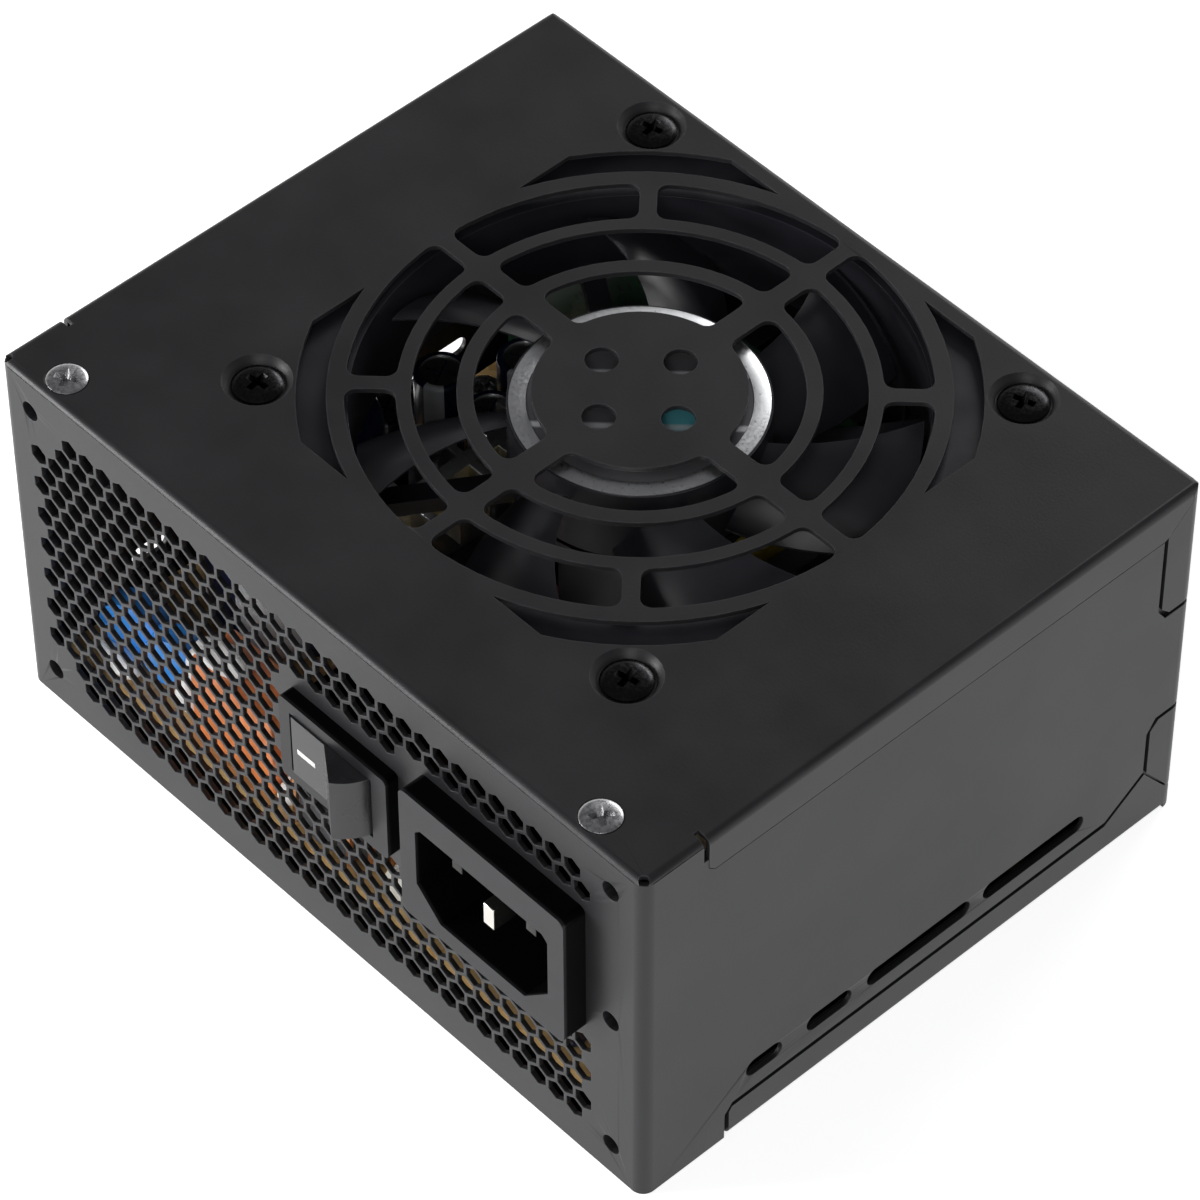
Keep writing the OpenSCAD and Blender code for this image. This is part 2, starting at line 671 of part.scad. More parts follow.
module switch_housing() color([0.1, 0.1, 0.1]) difference() {
    union() {
        along_y(front_y - switch_out, front_y) translate([switch_x, switch_z])
            rounded_rectangle([bezel_w, bezel_h], 0.8);
        along_y(front_y, front_y + 12) translate([switch_x, switch_z])
            square([switch_body_w, switch_body_h], center = true);
        for (i = [-1, 1]) translate([switch_x + i * 9.6, 0, 0])
            block([-0.6, front_y + sheet + 0.1, switch_z - 3], [0.6, front_y + sheet + 3, switch_z + 3]);
    }
    along_y(front_y - switch_out - 1, front_y + 9.5) translate([rocker_x, switch_z])
        square([2 * (rocker_r + rocker_gap), rocker_h + 0.3], center = true);
    // bearings for the rocker's stub axles
    translate([rocker_x, pivot_y, switch_z]) cylinder(r = pivot_r + 0.05, h = axle_l + 0.2, center = true);
}

// Rocker outline seen along its axle: V face, round ends, drawn level
module rocker_outline() {
    half = rocker_r + 1;
    tip = rocker_valley + half * tan(rocker_tilt);
    intersection() {
        circle(rocker_r);
        polygon([[-half, 1.6], [half, 1.6], [half, -tip], [0, -rocker_valley], [-half, -tip]]);
    }
}

// Drawn with its left half pressed in
module switch_rocker() color([0.09, 0.09, 0.09])
    translate([rocker_x, pivot_y, switch_z]) rotate(-rocker_tilt) {
        linear_extrude(rocker_h, center = true) rocker_outline();
        cylinder(r = pivot_r, h = axle_l, center = true);
        block([-0.8, 1, -1.5], [0.8, 4.2, 1.5]);
    }

module switch_contact() color([0.75, 0.6, 0.35]) translate([rocker_x, front_y + 7.4, switch_z])
    block([-6, 0, -2], [6, 0.6, 2]);

module switch_terminals() color([0.78, 0.77, 0.74]) for (i = [-1, 0], j = [-1, 1])
    translate([switch_x - 2 + 6.5 * i, front_y + 12, switch_z + 3.5 * j])
        block([-0.4, 0, -1.6], [0.4, 8, 1.6]);

// ---------- boards ----------

standoff_at = [[-55, -34], [55, -33], [-54, 28], [54, 28]];
module standoffs() color([0.75, 0.62, 0.3]) for (p = standoff_at) translate([p[0], p[1], 0]) difference() {
    union() {
        translate([0, 0, 0.1]) cylinder(r = 1.55, h = sheet);
        translate([0, 0, sheet]) rotate(30) cylinder(r = 2.9, h = board_z - sheet, $fn = 6);
    }
    translate([0, 0, 2]) cylinder(r = 1.3, h = board_z);
}

module board_screws() color([0.7, 0.7, 0.7]) for (p = standoff_at)
    translate([p[0], p[1], top_z]) difference() {
    union() {
        cylinder(r = 2.6, h = 1.6);
        translate([0, 0, -5]) cylinder(r = 1.25, h = 5.01);
    }
    translate([0, 0, 1.6]) cross_recess(3, 1);
}

module insulation_sheet() color([0.85, 0.85, 0.8, 0.8])
    block([-46.5, -40, sheet], [46.5, 46, sheet + 0.4]);

module main_board() color([0.45, 0.33, 0.15])
    translate([0, 0, board_z]) linear_extrude(board_t) difference() {
    translate([-board_x, board_y0]) square([2 * board_x, board_y1 - board_y0]);
    for (p = standoff_at) translate(p) circle(1.5);
}

module socket_board() color([0.12, 0.3, 0.16]) block([-58, socket_y0 - 1.6, board_z], [50, socket_y0, 44]);

module board_bars() color([0.72, 0.45, 0.25]) for (x = [-46, -30, -14, 2, 18])
    block([x, board_y1 - 1, top_z], [x + 8, socket_y0 - 1.6, top_z + 3.2]);

module control_board() color([0.1, 0.3, 0.2]) {
    block([26, 29.4, top_z], [49, 30.6, top_z + 20]);
    block([31, 28.2, top_z + 6], [41, 29.4, top_z + 12]);
}

// ---------- mains side parts ----------

module x_capacitor() color([0.9, 0.5, 0.15]) block([-34, -44, top_z], [-17, -36, top_z + 15]);

module y_capacitors() color([0.15, 0.4, 0.8]) for (x = [-50, -41])
    translate([x, -40.6, top_z + 2 + 4.6]) {
        rotate([90, 0, 20]) translate([0, 0, -1.9]) cylinder(r = 4.6, h = 3.8);
        for (s = [-1, 1]) rotate(20) translate([s * 2.8, 0, -6.6]) cylinder(r = 0.35, h = 3.1);
    }

module toroid(r_mid, w, h) {
    rotate_extrude() translate([r_mid - w / 2, 0]) square([w, h]);
}

// Half-ring sleeves of winding round a toroid, open between start and end
module toroid_winding(r_mid, w, h, wire, angle) {
    for (s = [0, 180]) rotate(s - angle / 2) rotate_extrude(angle = angle) difference() {
        translate([r_mid - w / 2 - wire, 0]) square([w + 2 * wire, h + 2 * wire]);
        translate([r_mid - w / 2, wire]) square([w, h]);
    }
}

module filter_choke_core() color([0.25, 0.25, 0.26]) translate([-6, -36, top_z + 1.2]) toroid(7.5, 4.5, 8);
module filter_choke_windings() color([0.78, 0.45, 0.2])
    translate([-6, -36, top_z]) toroid_winding(7.5, 4.5, 8, 1.2, 140);

module fuse() color([0.85, 0.85, 0.8]) translate([9, -44, top_z + 3.2]) rotate([-90, 0, 0]) {
    cylinder(r = 3.2, h = 3.5);
    translate([0, 0, 3.5]) cylinder(r = 2.6, h = 9);
    translate([0, 0, 12.5]) cylinder(r = 3.2, h = 3.5);
}

module thermistor() color([0.1, 0.25, 0.15]) translate([19, -38, top_z + 7]) {
    rotate([90, 0, 60]) translate([0, 0, -1.6]) cylinder(r = 5, h = 3.2);
    for (s = [-1, 1]) rotate(60) translate([s * 2.5, 0, -7]) cylinder(r = 0.4, h = 3);
}

module heatsink(x0, y0, x1, y1, h, fins) {
    // upright aluminium plate with short fins along its top
    block([x0, y0, top_z + 1], [x1, y1, top_z + h]);
    along = x1 - x0 > y1 - y0;
    for (k = [0 : fins - 1]) {
        u = (k + 0.5) / fins;
        if (along) block([x0 + u * (x1 - x0) - 0.6, y0 - 4, top_z + h - 9],
            [x0 + u * (x1 - x0) + 0.6, y1 + 4, top_z + h]);
        else block([x0 - 4, y0 + u * (y1 - y0) - 0.6, top_z + h - 9],
            [x1 + 4, y0 + u * (y1 - y0) + 0.6, top_z + h]);
    }
}

// A plastic power transistor lying flat against a heatsink, with three legs
module power_package(p, turn) translate(p) rotate(turn) {
    block([-5, 0, 3.5], [5, 4.4, 18]);
    for (x = [-2.54, 0, 2.54]) block([x - 0.4, 1.6, 0], [x + 0.4, 2.4, 3.5]);
}

module rectifier() color([0.1, 0.1, 0.1]) {
    block([44, -23.4, top_z + 3], [48, -4, top_z + 19]);
    for (y = [-21, -16, -11, -6]) block([45.6, y - 0.4, top_z], [46.4, y + 0.4, top_z + 3]);
}
module rectifier_heatsink() color([0.75, 0.76, 0.78]) heatsink(48, -26, 50.4, -2, 34, 5);

module boost_choke_core() color([0.3, 0.3, 0.3]) translate([29, -12, top_z + 1.5]) toroid(9, 6, 12);
module boost_choke_winding() color([0.8, 0.48, 0.22])
    translate([29, -12, top_z]) toroid_winding(9, 6, 12, 1.5, 165);

module bulk_capacitor() color([0.08, 0.08, 0.12]) translate([-43, -17, top_z]) {
    cylinder(r = 13, h = 35);
    translate([0, 0, 35]) cylinder(r = 11.8, h = 0.8);
}

module primary_heatsink() color([0.75, 0.76, 0.78]) heatsink(-24, -27, -21.6, 16, 33, 8);
module primary_transistors() color([0.1, 0.1, 0.1]) for (y = [-18, -5, 8])
    power_package([-21.6, y, top_z], -90);

module transformer_core() color([0.22, 0.22, 0.24]) {
    block([-10, 2, top_z + 3], [20, 6, top_z + 29]);
    block([-10, 22, top_z + 3], [20, 26, top_z + 29]);
    block([-10, 6, top_z + 3], [-6, 22, top_z + 29]);
    block([16, 6, top_z + 3], [20, 22, top_z + 29]);
}
module transformer_winding() color([0.9, 0.75, 0.2])
    block([-5.6, 6.4, top_z], [15.6, 21.6, top_z + 31.5]);

module standby_transformer() color([0.85, 0.7, 0.25]) {
    block([-2, -21, top_z], [12, -7, top_z + 14]);
    block([-4, -17, top_z + 3], [-2, -11, top_z + 14]);
}

module secondary_heatsink() color([0.75, 0.76, 0.78]) heatsink(26, 19, 54, 21.4, 30, 6);
module secondary_transistors() color([0.1, 0.1, 0.1]) for (x = [33, 46]) power_package([x, 21.4, top_z], 0);

module output_choke_core() color([0.85, 0.8, 0.3]) translate([42, 8, top_z + 1]) toroid(6, 4, 9);
module output_choke_winding() color([0.78, 0.45, 0.2])
    translate([42, 8, top_z]) toroid_winding(6, 4, 9, 1, 160);

output_capacitor_at = [[-50, 6], [-39.5, 6], [-50, 16.5], [-39.5, 16.5], [-29, 20.5], [-44, 27]];
module output_capacitors() color([0.1, 0.12, 0.3]) for (p = output_capacitor_at)
    translate([p[0], p[1], top_z]) {
        cylinder(r = 4, h = 16);
        translate([0, 0, 16]) cylinder(r = 3.4, h = 0.5);
    }

// ---------- output sockets ----------

module socket(s) translate([s[0], 0, s[1]]) {
    w = s[2] * cell;
    difference() {
        union() {
            along_y(socket_y0, socket_y1) rounded_rectangle([w + 2 * wall, socket_h], 0.3);
            // latch ledge above the mouth
            block([-1.7, socket_y1 - 6, socket_h / 2 - 0.1], [1.7, socket_y1 - 1.2, socket_h / 2 + 1]);
        }
        along_y(socket_y1 - socket_mouth, socket_y1 + 1) square([w, 2 * cell], center = true);
        for (i = [0 : s[2] - 1], j = [-0.5, 0.5])
            translate([(i - (s[2] - 1) / 2) * cell, 0, j * cell])
                block([-1.75, socket_y0 + 1.5, -1.75], [1.75, socket_y1, 1.75]);
    }
}

module main_socket() color([0.08, 0.08, 0.08]) for (s = main_sockets) socket(s);
module processor_socket() color([0.08, 0.08, 0.08]) for (s = processor_sockets) socket(s);
module graphics_socket_pair() color([0.08, 0.08, 0.08]) for (s = graphics_sockets) socket(s);
module peripheral_socket_set() color([0.08, 0.08, 0.08]) for (s = peripheral_sockets) socket(s);

module socket_pins() color([0.85, 0.72, 0.4]) for (s = all_sockets)
    for (i = [0 : s[2] - 1], j = [-0.5, 0.5])
        translate([s[0] + (i - (s[2] - 1) / 2) * cell, 0, s[1] + j * cell])
            block([-0.55, socket_y0 + 1.5, -0.55], [0.55, socket_y1 - socket_mouth - 0.4, 0.55]);

chassis_shell();
top_cover();
base_tray();
cover_screws();
base_screws();
fan_screws();
fan_frame();
fan_rotor();
fan_label();
fan_shaft();
fan_magnet();
fan_bearing();
fan_stator();
fan_coils();
fan_circuit();
fan_lead();
fan_plug();
inlet_housing();
inlet_pins();
inlet_leads();
switch_housing();
switch_rocker();
switch_contact();
switch_terminals();
insulation_sheet();
standoffs();
board_screws();
main_board();
x_capacitor();
y_capacitors();
filter_choke_core();
filter_choke_windings();
fuse();
thermistor();
rectifier();
rectifier_heatsink();
boost_choke_core();
boost_choke_winding();
bulk_capacitor();
primary_heatsink();
primary_transistors();
transformer_core();
transformer_winding();
standby_transformer();
secondary_heatsink();
secondary_transistors();
output_choke_core();
output_choke_winding();
output_capacitors();
control_board();
socket_board();
board_bars();
main_socket();
processor_socket();
graphics_socket_pair();
peripheral_socket_set();
socket_pins();
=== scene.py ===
"""Looks of a small form factor computer power supply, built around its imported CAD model."""
import json
import math
import random

import bmesh
import bpy
from mathutils import Matrix, Vector


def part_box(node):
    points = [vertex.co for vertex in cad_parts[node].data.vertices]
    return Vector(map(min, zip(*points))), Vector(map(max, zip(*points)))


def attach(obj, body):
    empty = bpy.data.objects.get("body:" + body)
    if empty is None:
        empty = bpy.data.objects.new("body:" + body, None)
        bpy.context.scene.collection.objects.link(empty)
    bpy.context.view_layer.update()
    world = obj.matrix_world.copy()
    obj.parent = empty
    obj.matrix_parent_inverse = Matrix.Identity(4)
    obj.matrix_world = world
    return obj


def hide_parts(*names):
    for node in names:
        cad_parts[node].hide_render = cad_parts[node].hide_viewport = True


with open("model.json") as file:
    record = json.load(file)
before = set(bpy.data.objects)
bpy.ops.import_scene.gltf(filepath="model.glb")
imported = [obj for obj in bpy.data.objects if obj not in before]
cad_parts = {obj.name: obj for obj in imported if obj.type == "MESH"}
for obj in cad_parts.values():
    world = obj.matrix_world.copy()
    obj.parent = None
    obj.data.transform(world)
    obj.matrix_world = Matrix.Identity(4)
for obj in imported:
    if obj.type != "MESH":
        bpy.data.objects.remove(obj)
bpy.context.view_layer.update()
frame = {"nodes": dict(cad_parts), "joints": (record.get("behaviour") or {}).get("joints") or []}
NODES = frame["nodes"]
MM = 0.001
SEED = 7


# ---------- shader helpers ----------


def tint(color, factor, lift=0.0):
    """A colour made lighter or darker: each channel times factor, plus lift, at most 1."""
    return tuple(min(1, c * factor + lift) for c in color)


class Shader:
    """A material under construction, with short ways to add and join nodes."""

    def __init__(self, name, color, roughness, metallic=0.0):
        self.material = bpy.data.materials.new(name)
        self.material.use_nodes = True
        self.tree = self.material.node_tree
        self.bsdf = self.tree.nodes["Principled BSDF"]
        self.set("Base Color", (*color, 1))
        self.set("Roughness", roughness)
        self.set("Metallic", metallic)

    def set(self, socket, value):
        self.bsdf.inputs[socket].default_value = value

    def node(self, kind, **inputs):
        made = self.tree.nodes.new(kind)
        for key, value in inputs.items():
            made.inputs[key.replace("_", " ")].default_value = value
        return made

    def join(self, source, target):
        self.tree.links.new(source, target)

    def position(self):
        """Object coordinates, in metres: the CAD frame."""
        return self.node("ShaderNodeTexCoord").outputs["Object"]

    def noise(self, size, detail=2.0, stretch=(1, 1, 1)):
        """Noise whose features are about size metres across."""
        mapping = self.node("ShaderNodeMapping", Scale=stretch)
        self.join(self.position(), mapping.inputs["Vector"])
        made = self.node("ShaderNodeTexNoise", Scale=1 / size, Detail=detail)
        self.join(mapping.outputs["Vector"], made.inputs["Vector"])
        return made.outputs["Fac"]

    def ramp(self, factor, low, high, a=0.0, b=1.0):
        """Maps a factor from [a, b] to [low, high]: numbers, or colours of three."""
        if isinstance(low, (int, float)):
            made = self.node("ShaderNodeMapRange")
            values = {"From Min": a, "From Max": b, "To Min": low, "To Max": high}
            for key, value in values.items():
                made.inputs[key].default_value = value
            self.join(factor, made.inputs["Value"])
            return made.outputs["Result"]
        made = self.node("ShaderNodeValToRGB")
        made.color_ramp.elements[0].position = a
        made.color_ramp.elements[1].position = b
        made.color_ramp.elements[0].color = (*low, 1)
        made.color_ramp.elements[1].color = (*high, 1)
        self.join(factor, made.inputs["Fac"])
        return made.outputs["Color"]

    def mix(self, factor, first, second):
        made = self.node("ShaderNodeMix")
        made.data_type = "RGBA"
        self.join(factor, made.inputs["Factor"])
        for index, value in ((6, first), (7, second)):
            if isinstance(value, tuple):
                made.inputs[index].default_value = (*value, 1)
            else:
                self.join(value, made.inputs[index])
        return made.outputs[2]

    def math(self, operation, first, second=0.0, clamp=False):
        made = self.node("ShaderNodeMath")
        made.operation = operation
        made.use_clamp = clamp
        for index, value in enumerate((first, second)):
            if isinstance(value, (int, float)):
                made.inputs[index].default_value = value
            else:
                self.join(value, made.inputs[index])
        return made.outputs[0]

    def cloud(self, factor, color, low, high):
        """The colour, drifting between low and high times its own brightness."""
        return self.ramp(factor, tint(color, low), tint(color, high), 0.3, 0.7)

    def bump(self, height, depth, strength):
        made = self.node("ShaderNodeBump", Strength=strength, Distance=depth)
        self.join(height, made.inputs["Height"])
        self.join(made.outputs["Normal"], self.bsdf.inputs["Normal"])

    def edges(self, radius):
        """1 on edges that stick out or in within radius, 0 on flat areas."""
        bevel = self.node("ShaderNodeBevel", Radius=radius)
        geometry = self.node("ShaderNodeNewGeometry")
        dot = self.node("ShaderNodeVectorMath")
        dot.operation = "DOT_PRODUCT"
        self.join(bevel.outputs["Normal"], dot.inputs[0])
        self.join(geometry.outputs["Normal"], dot.inputs[1])
        return self.ramp(dot.outputs["Value"], 1.0, 0.0, 0.8, 0.995)


def paint(name, color, roughness):
    """Powder coat: fine orange peel, faint cloudiness, and a painted highlight in patches along the edges."""
    made = Shader(name, color, roughness)
    made.set("Specular IOR Level", 0.34)
    clouds = made.noise(14 * MM, 3)
    patchy = made.ramp(made.noise(1.6 * MM, 4), 0.2, 1.0, 0.35, 0.6)
    # painted highlight: the edges, in patches, are painted lighter than the coat
    edge_highlight = made.math("MULTIPLY", made.edges(0.35 * MM), patchy)
    plain = made.cloud(clouds, color, 0.85, 1.15)
    made.join(made.mix(edge_highlight, plain, tint(color, 2.2, 0.01)), made.bsdf.inputs["Base Color"])
    made.join(made.ramp(clouds, roughness - 0.03, roughness + 0.04, 0.3, 0.7), made.bsdf.inputs["Roughness"])
    made.bump(made.noise(0.45 * MM, 2), 0.018 * MM, 0.55)
    return made.material


def moulded(name, color, roughness, grain=0.35 * MM, depth=0.02 * MM):
    """Moulded plastic with a fine spark-eroded texture and a painted highlight along its edges."""
    made = Shader(name, color, roughness)
    clouds = made.noise(6 * MM, 2)
    plain = made.cloud(clouds, color, 0.88, 1.12)
    # painted highlight: the edges are painted lighter than the plastic
    made.join(made.mix(made.edges(0.25 * MM), plain, tint(color, 1.6, 0.006)), made.bsdf.inputs["Base Color"])
    made.join(made.ramp(clouds, roughness - 0.04, roughness + 0.05, 0.3, 0.7), made.bsdf.inputs["Roughness"])
    made.bump(made.noise(grain, 3), depth, 0.6)
    return made.material


def fitting_plastic(name, color, roughness, front):
    """Black plastic of a panel fitting: satin on its front face at y = front, with painted shade behind it:
    near black and dull on the sides and in the recess.
    """
    made = Shader(name, color, roughness)
    parts = made.node("ShaderNodeSeparateXYZ")
    made.join(made.position(), parts.inputs[0])
    # painted shade: everything behind the front face is painted near black, with its specular turned down
    depth = made.ramp(parts.outputs["Y"], 0.0, 1.0, front + 0.25 * MM, front + 0.6 * MM)
    plain = made.cloud(made.noise(5 * MM, 2), color, 0.85, 1.15)
    made.join(made.mix(depth, plain, tint(color, 0.12)), made.bsdf.inputs["Base Color"])
    made.join(made.ramp(depth, 0.3, 0.06), made.bsdf.inputs["Specular IOR Level"])
    made.bump(made.noise(0.3 * MM, 3), 0.015 * MM, 0.5)
    return made.material


def metal(name, color, roughness, grain=0.5 * MM, stretch=(1, 1, 1)):
    """Bare or plated metal with a fine grain, duller in patches."""
    made = Shader(name, color, roughness, metallic=1.0)
    patches = made.noise(4 * MM, 3)
    made.join(made.cloud(patches, color, 0.8, 1.0), made.bsdf.inputs["Base Color"])
    fine = made.noise(grain, 3, stretch)
    made.join(made.ramp(fine, roughness - 0.07, roughness + 0.12, 0.3, 0.7), made.bsdf.inputs["Roughness"])
    made.bump(fine, 0.01 * MM, 0.5)
    return made.material


def contact_metal(name, color, roughness):
    """Plated contacts of the inlet: bright on the earth blade in its middle, with painted shade making the
    other two near black.
    """
    made = Shader(name, color, roughness, metallic=1.0)
    low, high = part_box("inlet_pins")
    parts = made.node("ShaderNodeSeparateXYZ")
    made.join(made.position(), parts.inputs[0])
    aside = made.math("ABSOLUTE", made.math("SUBTRACT", parts.outputs["X"], (low.x + high.x) / 2))
    # painted shade: contacts away from the middle are painted near black
    painted_pin_shade = made.ramp(aside, 0.0, 1.0, 3 * MM, 4 * MM)
    made.join(made.mix(painted_pin_shade, color, tint(color, 0.04)), made.bsdf.inputs["Base Color"])
    made.bump(made.noise(0.5 * MM, 3), 0.01 * MM, 0.4)
    return made.material


def lacquer(name, color, roughness, wobble=2.5 * MM, depth=0.06 * MM):
    """Dipped, taped or glazed skin: glossy with a slow ripple."""
    made = Shader(name, color, roughness)
    made.set("Coat Weight", 0.4)
    made.set("Coat Roughness", 0.12)
    clouds = made.noise(wobble * 2, 3)
    made.join(made.cloud(clouds, color, 0.8, 1.15), made.bsdf.inputs["Base Color"])
    made.bump(made.noise(wobble, 2), depth, 0.5)
    return made.material


def board(name, color, trace_color, pitch):
    """Circuit board: solder mask with a faint pattern of tracks under it."""
    made = Shader(name, color, 0.35)
    made.set("Coat Weight", 0.3)
    mapping = made.node("ShaderNodeMapping", Scale=(1 / pitch, 1 / pitch, 1 / pitch))
    made.join(made.position(), mapping.inputs["Vector"])
    cells = made.node("ShaderNodeTexVoronoi", Scale=1.0)
    cells.distance = "MANHATTAN"
    made.join(mapping.outputs["Vector"], cells.inputs["Vector"])
    tracks = made.ramp(cells.outputs["Distance"], 0.0, 1.0, 0.42, 0.5)
    made.join(made.mix(tracks, color, trace_color), made.bsdf.inputs["Base Color"])
    made.bump(tracks, 0.03 * MM, 0.6)
    return made.material


def wire_wound(name, color, wire):
    """Enamelled copper wire with a fine ripple along it."""
    made = Shader(name, color, 0.28, metallic=0.85)
    made.set("Coat Weight", 0.6)
    made.set("Coat Roughness", 0.15)
    made.join(made.cloud(made.noise(3 * MM, 2), color, 0.7, 1.0), made.bsdf.inputs["Base Color"])
    made.bump(made.noise(wire, 2), 0.03 * MM, 0.4)
    return made.material


def hub_label(name):
    """Foil label: grey face with two pale lines across it and a plain coloured patch to one side."""
    made = Shader(name, (0.62, 0.64, 0.66), 0.3)
    made.set("Metallic", 0.35)
    centre = hub_centre()
    offset = made.node("ShaderNodeVectorMath")
    offset.operation = "SUBTRACT"
    offset.inputs[1].default_value = centre
    made.join(made.position(), offset.inputs[0])
    reach = made.node("ShaderNodeVectorMath")
    reach.operation = "DISTANCE"
    reach.inputs[1].default_value = (7.2 * MM, 0, 0)
    made.join(offset.outputs["Vector"], reach.inputs[0])
    patch = made.ramp(reach.outputs["Value"], 1.0, 0.0, 3.4 * MM, 3.7 * MM)
    across = made.node("ShaderNodeVectorMath")
    across.operation = "DOT_PRODUCT"
    across.inputs[1].default_value = (math.sqrt(0.5), -math.sqrt(0.5), 0)
    made.join(offset.outputs["Vector"], across.inputs[0])
    side = made.math("SUBTRACT", made.math("ABSOLUTE", across.outputs["Value"]), 4.9 * MM)
    line = made.ramp(made.math("ABSOLUTE", side), 1.0, 0.0, 0.3 * MM, 0.7 * MM)
    plain = made.mix(line, (0.16, 0.16, 0.17), (0.85, 0.86, 0.88))
    coloured = made.mix(line, (0.16, 0.62, 0.70), (0.75, 0.95, 0.97))
    made.join(made.mix(patch, plain, coloured), made.bsdf.inputs["Base Color"])
    made.bump(made.noise(1.2 * MM, 2), 0.01 * MM, 0.4)
    return made.material


def hub_centre():
    low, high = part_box("fan_label")
    return (low + high) / 2


# ---------- mesh helpers ----------


def new_object(name, mesh, material, body, smooth_angle=40):
    """Puts a mesh in the scene, shades it, and makes it ride on a body."""
    made = bpy.data.objects.new(name, mesh)
    bpy.context.scene.collection.objects.link(made)
    mesh.materials.clear()
    mesh.materials.append(material)
    shade(mesh, smooth_angle)
    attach(made, body)
    return made


def shade(mesh, angle):
    mesh.shade_smooth()
    mesh.set_sharp_from_angle(angle=math.radians(angle))


def mesh_from(bm, name):
    bmesh.ops.recalc_face_normals(bm, faces=bm.faces)
    mesh = bpy.data.meshes.new(name)
    bm.to_mesh(mesh)
    bm.free()
    return mesh


def lathe(bm, profile, segments=48, matrix=Matrix.Identity(4)):
    """Turns a profile of (radius, height) points about Z. Points on the axis close it."""
    rings = []
    for radius, height in profile:
        if radius < 1e-9:
            rings.append([bm.verts.new(matrix @ Vector((0, 0, height)))])
            continue
        ring = []
        for k in range(segments):
            a = 2 * math.pi * k / segments
            ring.append(bm.verts.new(matrix @ Vector((radius * math.cos(a), radius * math.sin(a), height))))
        rings.append(ring)
    for low, high in zip(rings, rings[1:]):
        for k in range(segments):
            n = (k + 1) % segments
            if len(low) == 1 and len(high) > 1:
                bm.faces.new((low[0], high[k], high[n]))
            elif len(high) == 1 and len(low) > 1:
                bm.faces.new((low[k], low[n], high[0]))
            elif len(low) > 1:
                bm.faces.new((low[k], low[n], high[n], high[k]))
    return rings


def arc(cx, cz, radius, start, end, steps):
    """Profile points on a circle, with angles in degrees from +radius towards +height."""
    return [(cx + radius * math.cos(math.radians(start + (end - start) * k / steps)),
             cz + radius * math.sin(math.radians(start + (end - start) * k / steps)))
            for k in range(steps + 1)]


def add_box(bm, low, high, bevel=0.0, matrix=Matrix.Identity(4)):
    """Adds a block with rounded edges."""
    part = bmesh.new()
    bmesh.ops.create_cube(part, size=1)
    size = Vector(high) - Vector(low)
    centre = (Vector(high) + Vector(low)) / 2
    for v in part.verts:
        v.co = Vector((v.co[i] * size[i] + centre[i] for i in range(3)))
    if bevel:
        bmesh.ops.bevel(part, geom=list(part.edges), offset=bevel, segments=2, affect="EDGES", profile=0.5)
    bmesh.ops.transform(part, matrix=matrix, verts=part.verts)
    temp = bpy.data.meshes.new("temp")
    part.to_mesh(temp)
    part.free()
    bm.from_mesh(temp)
    bpy.data.meshes.remove(temp)


def sweep(bm, path, radius, sides=8, closed=False):
    """Adds a round tube along a list of points, with capped ends unless it's closed."""
    count = len(path)
    rings = []
    normal = None
    for i, point in enumerate(path):
        before = path[(i - 1) % count] if closed or i > 0 else point
        after = path[(i + 1) % count] if closed or i < count - 1 else point
        tangent = (after - before).normalized()
        if normal is None:
            normal = tangent.orthogonal().normalized()
        normal = (normal - tangent * normal.dot(tangent)).normalized()
        side = tangent.cross(normal)
        rings.append([bm.verts.new(point + radius * (math.cos(2 * math.pi * k / sides) * normal
                                                     + math.sin(2 * math.pi * k / sides) * side))
                      for k in range(sides)])
    for i in range(count if closed else count - 1):
        low, high = rings[i], rings[(i + 1) % count]
        shift = 0
        if closed and i == count - 1:
            shift = min(range(sides), key=lambda s: (low[0].co - high[s].co).length)
        for k in range(sides):
            n = (k + 1) % sides
            bm.faces.new((low[k], low[n], high[(n + shift) % sides], high[(k + shift) % sides]))
    if not closed:
        bm.faces.new(rings[0][::-1])
        bm.faces.new(rings[-1])


def cut(target, tool_mesh):
    """Subtracts a mesh from an object and keeps the result."""
    tool = bpy.data.objects.new("cutter", tool_mesh)
    bpy.context.scene.collection.objects.link(tool)
    modifier = target.modifiers.new("cut", "BOOLEAN")
    modifier.operation = "DIFFERENCE"
    modifier.solver = "EXACT"
    modifier.object = tool
    graph = bpy.context.evaluated_depsgraph_get()
    result = bpy.data.meshes.new_from_object(target.evaluated_get(graph))
    target.modifiers.clear()
    target.data = result
    bpy.data.objects.remove(tool)


def dress(node, material, bevel=0.0, angle=32):
    """Gives a CAD node its finish, smooth shading on its curves, and fine rounding on its edges."""
    thing = NODES[node]
    thing.data.materials.clear()
    thing.data.materials.append(material)
    weld = thing.modifiers.new("weld", "WELD")
    weld.merge_threshold = 0.002 * MM
    if bevel:
        rounding = thing.modifiers.new("rounding", "BEVEL")
        rounding.width = bevel
        rounding.segments = 2
        rounding.limit_method = "ANGLE"
        rounding.angle_limit = math.radians(angle)
        rounding.use_clamp_overlap = True
    smooth_by_angle(thing, 50 if bevel else angle)


def smooth_by_angle(thing, angle):
    """Smooth shading that keeps edges sharper than angle and flat faces flat, after the other modifiers."""
    for polygon in thing.data.polygons:
        polygon.use_smooth = True
    split = thing.modifiers.new("creases", "EDGE_SPLIT")
    split.split_angle = math.radians(angle)
    split.use_edge_sharp = False
    normals = thing.modifiers.new("flat_faces", "WEIGHTED_NORMAL")
    normals.mode = "FACE_AREA"
    normals.weight = 50


# ---------- camera, light and floor ----------

TARGET = Vector((1.576, -0.773, 30.0)) * MM
CAMERA_DISTANCE = 827.2 * MM
AZIMUTH = math.radians(47.251)
ELEVATION = math.radians(47.698)
ROLL = math.radians(-0.231)
FOCAL_PER_WIDTH = 5.105
SENSOR = 36.0


